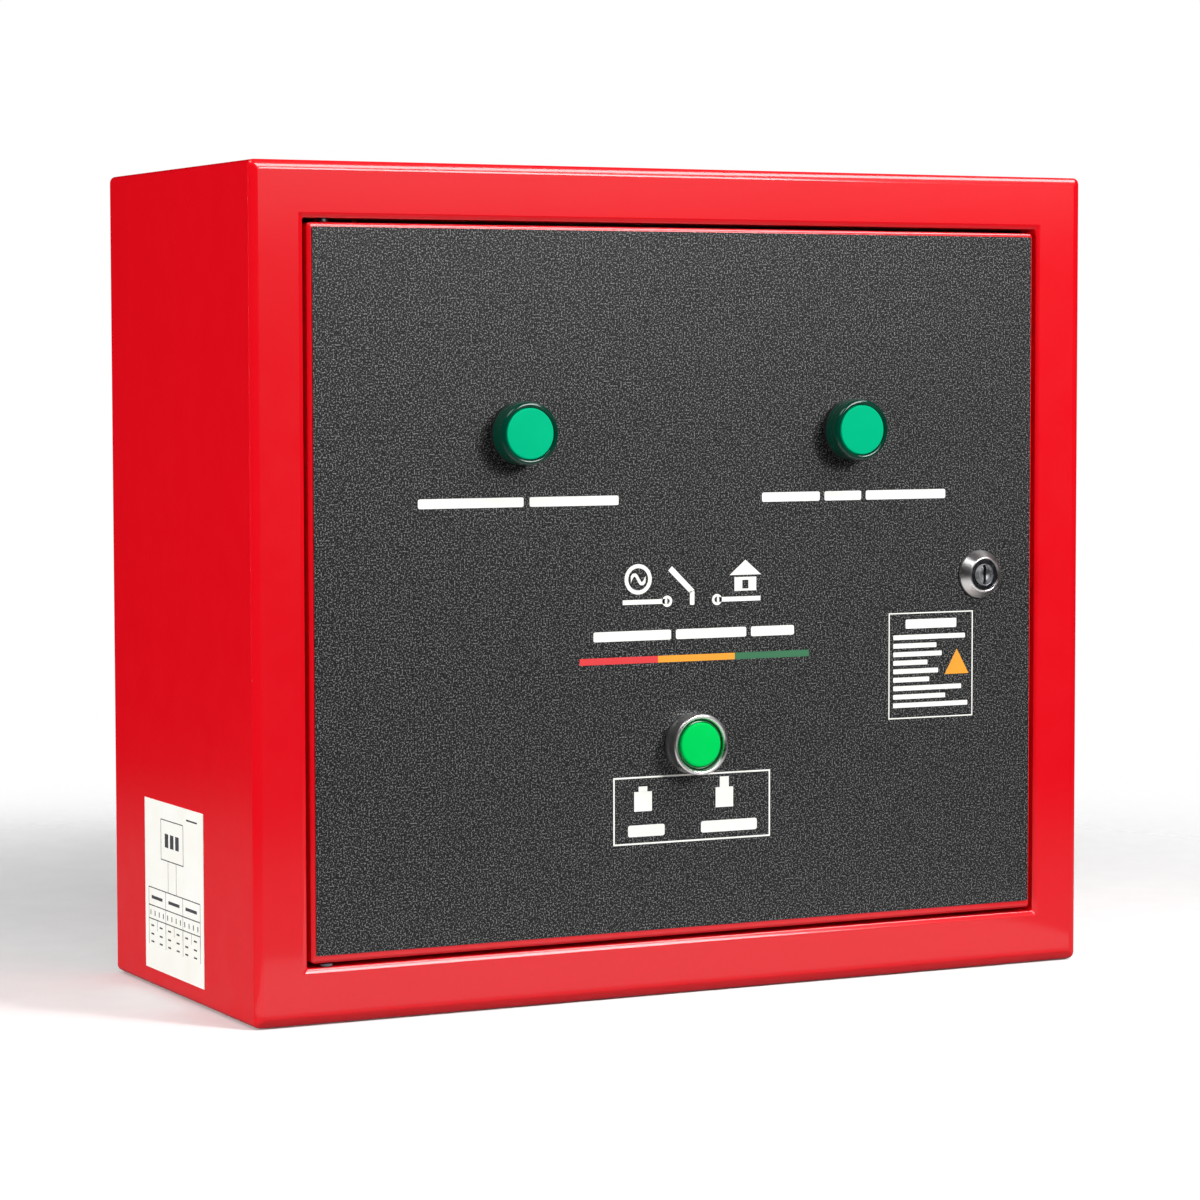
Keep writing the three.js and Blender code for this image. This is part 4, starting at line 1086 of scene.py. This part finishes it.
def lock_cam():
    low, high = box_of("lock_cam")
    x, z = CENTRE["lock"].x, CENTRE["lock"].z
    square = [(x + u, z + v) for u, v in ((-3.2, -3.2), (3.2, -3.2), (3.2, 3.2), (-3.2, 3.2))]
    cam = cut_sheet([rectangle(low.x, high.x, low.z, high.z, 3, 8), square], low.y, high.y, 0.3)
    swap("cam_plate", cam, "zinc", "lock_cam")
    low, high = box_of("lock_cam_screw")
    screw = joined(threaded(2, low.y, low.y + 9.6, (x, 0, z)),
                   cut_sheet([circle(x, z, 5.5)], high.y - 4, high.y - 3, 0.15),
                   cut_sheet([hexagon(x, z, 8)], high.y - 3, high.y, 0.5))
    swap("cam_screw_hex", screw, "zinc", "lock_cam_screw")


def hinge_pins():
    pin = [(0, -8), (1.5, -8), (2, -7.5), (2, 0.3), (3.5, 0.3), (3.8, 0.5), (3.8, 1.5), (3.5, 1.7),
           (2, 1.7), (2, 6), (2.4, 6.1), (2.6, 6.4), (2.6, 6.9), (2.2, 7.4), (0, 7.4)]
    for side, outward, door_edge in (("upper", 1, door_high.z), ("lower", -1, door_low.z)):
        node = f"hinge_pin_{side}"
        low, high = box_of(node)
        x, y = (low.x + high.x) / 2, (low.y + high.y) / 2
        profile = [(r, outward * a) for r, a in pin]
        swap(f"{node}_turned", revolved(profile, (x, y, door_edge), 40, "Z"), "dark_metal", node)


def seal():
    low, high = box_of("door_seal")
    width = 6.7
    strip = three_sides(low.x, high.x, low.z, high.z, width)
    swap("foam_strip", cut_sheet([strip], low.y, high.y, 0.8), "foam", "door_seal")


# ---- printed graphics ----------------------------------------------------------------------------
INK = 0.05


def printed(name, key, *loops):
    """Ink lying on the film; each loop is an outline or a list of outlines with holes."""
    sheets = []
    for loop in loops:
        outlines = loop if isinstance(loop[0], list) else [loop]
        sheets.append(cut_sheet(outlines, FILM_FACE - INK, FILM_FACE + 0.02))
    detail(name, joined(*sheets), key, "door", "overlay_film")


def outlined(x0, x1, z0, z1, line):
    return [rectangle(x0, x1, z0, z1), rectangle(x0 + line, x1 - line, z0 + line, z1 - line)]


def words(x0, z0, height, lengths, space):
    """A row of plain bars standing for words."""
    bars = []
    x = x0
    for length in lengths:
        bars.append(rectangle(x, x + length, z0, z0 + height, min(height, length) * 0.2))
        x += length + space
    return bars


def pictogram():
    """Changeover mark: two supply lines, one with a sine wave and one with a house, and a blade between."""
    bars = []
    base, top, line = -9, 9, 2.2
    left, right, centre = -34, 38, 2
    for x0, x1 in ((left, centre - 13), (centre + 13, right)):
        bars.append(rectangle(x0, x1, base, base + line))
    bars.append(rectangle(centre - 1.2, centre + 1.2, base - 1, base + 5.5, 0.6))
    blade_end = (centre - 11.5, top - 2)
    bars.append([(centre - 1.1, base + 4.4), (centre + 1.1, base + 6), (blade_end[0] + 1, blade_end[1] + 1.2),
                 (blade_end[0] - 1, blade_end[1] - 0.8)])
    for x in (centre - 13, centre + 13):
        bars.append([circle(x, base + line / 2, 2.6, 40), circle(x, base + line / 2, 1.3, 32)])
    ring_x = left + 8
    bars.append([circle(ring_x, 2.6, 7, 56), circle(ring_x, 2.6, 5.1, 48)])
    upper, lower = [], []
    for i in range(25):
        t = i / 24
        x = ring_x - 3.8 + 7.6 * t
        wave = 2.6 + 2.0 * sin(2 * pi * t)
        slope = 2.0 * 2 * pi / 7.6 * cos(2 * pi * t)
        half = 0.75 * sqrt(1 + slope * slope)
        upper.append((x, wave + half))
        lower.append((x, wave - half))
    bars.append(lower + upper[::-1])
    house_x = right - 8
    bars.append([(house_x - 8.4, 3.2), (house_x + 8.4, 3.2), (house_x, 10.2)])
    bars.append([rectangle(house_x - 5.8, house_x + 5.8, -4.2, 2.2),
                 rectangle(house_x - 1.6, house_x + 1.6, -3.2, 0.8)])
    return bars


def graphics():
    lamp_text = 36.8
    printed("caption_left", "white_ink", *words(-136, lamp_text, 4.4, (52, 45), 3))
    printed("caption_right", "white_ink", *words(38.8, lamp_text, 4.4, (31, 20, 44), 2.5))
    printed("changeover_mark", "white_ink", *pictogram())
    printed("subtitle", "white_ink", *words(-49, -25.6, 4.6, (40, 37, 23), 2.5))
    stripe = (-36, -32.9)
    ends = (-56, -15.8, 24.4, 64)
    for key, x0, x1 in zip(("red_ink", "amber_ink", "green_ink"), ends, ends[1:]):
        printed(f"stripe_{key[:-4]}", key, rectangle(x0, x1, *stripe))
    printed("mode_box", "white_ink", outlined(-39, 43.3, -119.6, -88.2, 0.8))
    printed("mode_icons", "white_ink",
            rectangle(-28.2, -19, -104.3, -95.2), rectangle(-25.9, -21.4, -95.3, -92.8),
            rectangle(14.3, 23.6, -104.6, -95.2), rectangle(16.5, 21.3, -95.3, -90.3))
    printed("mode_words", "white_ink", *words(-31.4, -116, 5.4, (19,), 0), *words(6.6, -116, 5.4, (29.6,), 0))
    printed("notice_box", "white_ink", outlined(107.6, 154.6, -67.9, -17.3, 0.6))
    rows = [rectangle(117, 145.3, -25, -20.6, 0.6)]
    lengths = (40, 24, 27, 19, 25, 20, 38, 29, 41.5)
    for k, length in enumerate(lengths):
        z = -30.2 - 4.05 * k
        rows.append(rectangle(110.2, 110.2 + length, z, z + 2.3, 0.4))
    printed("notice_lines", "white_ink", *rows)
    printed("notice_triangle", "amber_ink", [(138.9, -47.4), (152.3, -47.4), (145.6, -35.4)])


def side_label():
    """Paper label on the left side with a block diagram and a terminal table of blank cells."""
    low, high = box_of("wiring_diagram_label")
    outline = rectangle(low.y, high.y, low.z, high.z)
    paper = cut_sheet([outline], low.x, high.x, side=True)
    swap("wiring_label", paper, "paper", "wiring_diagram_label")
    width, height = high.y - low.y, high.z - low.z
    marks = []

    def line(y0, y1, z0, z1):
        """Printed bar given in shares of the label, y from its rear edge and z from its foot."""
        bar = rectangle(high.y - width * y0, high.y - width * y1, low.z + height * z0, low.z + height * z1)
        marks.append(cut_sheet([bar], low.x - 0.04, low.x + 0.05, side=True))
    thin = 0.006
    box_y, box_z = (0.28, 0.66), (0.66, 0.895)
    for z in box_z:
        line(box_y[0], box_y[1], z, z + thin)
    for y in box_y:
        line(y, y + thin, box_z[0], box_z[1])
    for k in range(3):
        line(0.35 + 0.09 * k, 0.41 + 0.09 * k, 0.74, 0.82)
    for y in (0.4, 0.54):
        line(y, y + 0.004, 0.475, 0.66)
    table_y = (0.06, 0.94)
    for z in (0.475, 0.37, 0.29):
        line(table_y[0], table_y[1], z, z + thin)
    for y in (0.06, 0.353, 0.647, 0.94):
        line(y, y + 0.004, 0.14, 0.475)
    for k in range(3):
        line(0.11 + 0.293 * k, 0.3 + 0.293 * k, 0.413, 0.432)
    for k in range(12):
        line(0.088 + 0.0733 * k, 0.101 + 0.0733 * k, 0.315, 0.345)
    for k in range(6):
        line(0.205 + 0.1465 * k, 0.208 + 0.1465 * k, 0.23, 0.29)
        for z in (0.25, 0.2, 0.155):
            line(0.1 + 0.1465 * k, 0.15 + 0.1465 * k, z, z + 0.01)
    line(0.72, 0.9, 0.93, 0.94)
    detail("wiring_label_print", joined(*marks), "ink", "root", "label_paper")


def build_all():
    enclosure()
    rear_panel()
    door()
    for side in ("left", "right"):
        lamp(side)
    button()
    button_spring()
    lock()
    graphics()
    side_label()
    backplane()
    cable_entry()
    for circuit in ("house", "generator"):
        contactor(circuit)
    interlock()
    relay_module()
    breaker()
    for circuit in ("house", "output", "generator"):
        terminals(circuit)
    wiring()
    hinge_loom()
    door_backs()
    lock_cam()
    hinge_pins()
    seal()


build_all()



# ---- studio ----------------------------------------------------------------------------------
FLOOR_RADIUS = 820
REFLECTION_RADIUS = 1100
FLOOR_FADE = 150
DOME_RADIUS = 7000


def stage_piece(name, mesh, mat):
    obj = linked(name, mesh, mat)
    return obj


def softbox(name, place_at, aim, width, height, radiance, seen=True, lit=True, filmed=True):
    """Rectangular lamp of a given radiance; seen is for reflections, lit for matt surfaces and filmed for
    the camera itself."""
    data = bpy.data.lights.new(name, "AREA")
    data.shape = "RECTANGLE"
    data.size = width
    data.size_y = height
    data.energy = radiance * pi * width * height
    lamp_object = bpy.data.objects.new(name, data)
    lamp_object.visible_glossy = seen
    lamp_object.visible_diffuse = lit
    lamp_object.visible_camera = filmed
    lamp_object.location = place_at
    toward = Vector(aim) - Vector(place_at)
    lamp_object.rotation_euler = toward.to_track_quat("-Z", "Y").to_euler()
    bpy.context.scene.collection.objects.link(lamp_object)


def floor_disc(name, tone, radius, lift, hidden_from):
    """Round pale floor that fades out towards its rim; hidden_from lists the rays that miss it."""
    mat = plastic(f"studio_{name}", (tone, tone, tone), 0.8, 400, 0.000004, Specular_IOR_Level=0.1)
    reach = add(mat, "VectorMath", {0: add(mat, "TexCoord").outputs["Object"]}, operation="LENGTH")
    fade = add(mat, "MapRange", {"Value": reach.outputs["Value"], "From Min": FLOOR_FADE * MM,
                                 "From Max": radius * MM, "To Min": 1.0, "To Max": 0.0},
               interpolation_type="SMOOTHSTEP")
    wire(mat, fade.outputs["Result"], "Alpha")
    disc = [(0, lift - 0.5), (radius, lift - 0.5), (radius, lift), (0, lift)]
    floor = stage_piece(name, revolved(disc, Vector((0, 0, case_low.z)), 96, "Z"), mat)
    for kind in hidden_from:
        setattr(floor, f"visible_{kind}", False)


def studio():
    scene = bpy.context.scene
    scene.view_settings.view_transform = "Standard"
    floor_disc("floor", 0.96, FLOOR_RADIUS, -0.7, ("diffuse", "glossy"))
    # The paint and the film mirror this darker twin, which nothing else sees.
    floor_disc("floor_reflection", 0.3, REFLECTION_RADIUS, 0, ("camera", "diffuse", "shadow"))

    # A white dome that only the camera sees, so that it lights and colours nothing.
    dome_mat = bpy.data.materials.new("studio_backdrop")
    dome_mat.use_nodes = True
    glow = shader(dome_mat)
    glow.inputs["Base Color"].default_value = (0, 0, 0, 1)
    glow.inputs["Specular IOR Level"].default_value = 0
    glow.inputs["Emission Color"].default_value = (1, 1, 1, 1)
    glow.inputs["Emission Strength"].default_value = 1.0

    def ball(bm):
        bmesh.ops.create_icosphere(bm, subdivisions=4, radius=DOME_RADIUS)
    dome = stage_piece("backdrop", mesh_from(ball), dome_mat)
    for kind in ("diffuse", "glossy", "transmission", "volume_scatter", "shadow"):
        setattr(dome, f"visible_{kind}", False)

    world = bpy.data.worlds.new("studio")
    world.use_nodes = True
    world.node_tree.nodes["Background"].inputs["Color"].default_value = (1, 1, 1, 1)
    world.node_tree.nodes["Background"].inputs["Strength"].default_value = 0.12
    world.cycles_visibility.glossy = False
    scene.world = world

    softbox("key", (1.1, -2.0, 0.95), (0, -0.18, 0), 0.32, 0.32, 133, seen=False)
    softbox("key_card", (0.8, -2.0, 0.95), (0, -0.18, 0), 0.8, 0.8, 16, lit=False)
    softbox("strip_above", (0.95, -1.33, 1.67), (0, -0.18, 0.15), 1.4, 0.38, 14)
    softbox("card_in_front", (1.07, -2.3, 0.5), (0, -0.18, 0), 1.6, 0.5, 0.65)
    softbox("rim_light", (-0.95, -0.95, 1.75), (0, -0.18, 0), 0.8, 0.8, 5, lit=False)
    softbox("fill_left", (-2.25, -0.55, 0.15), (-0.2, -0.1, 0), 1.2, 0.8, 14.9, seen=False)
    softbox("floor_glow", (0.0, -0.27, -0.188), (0.0, -0.269, 0), 0.5, 0.14, 0.7, lit=False, filmed=False)
    softbox("overhead", (0, 0, 3.2), (0, 0.001, 0), 5.5, 5.5, 0.9, seen=False)


studio()
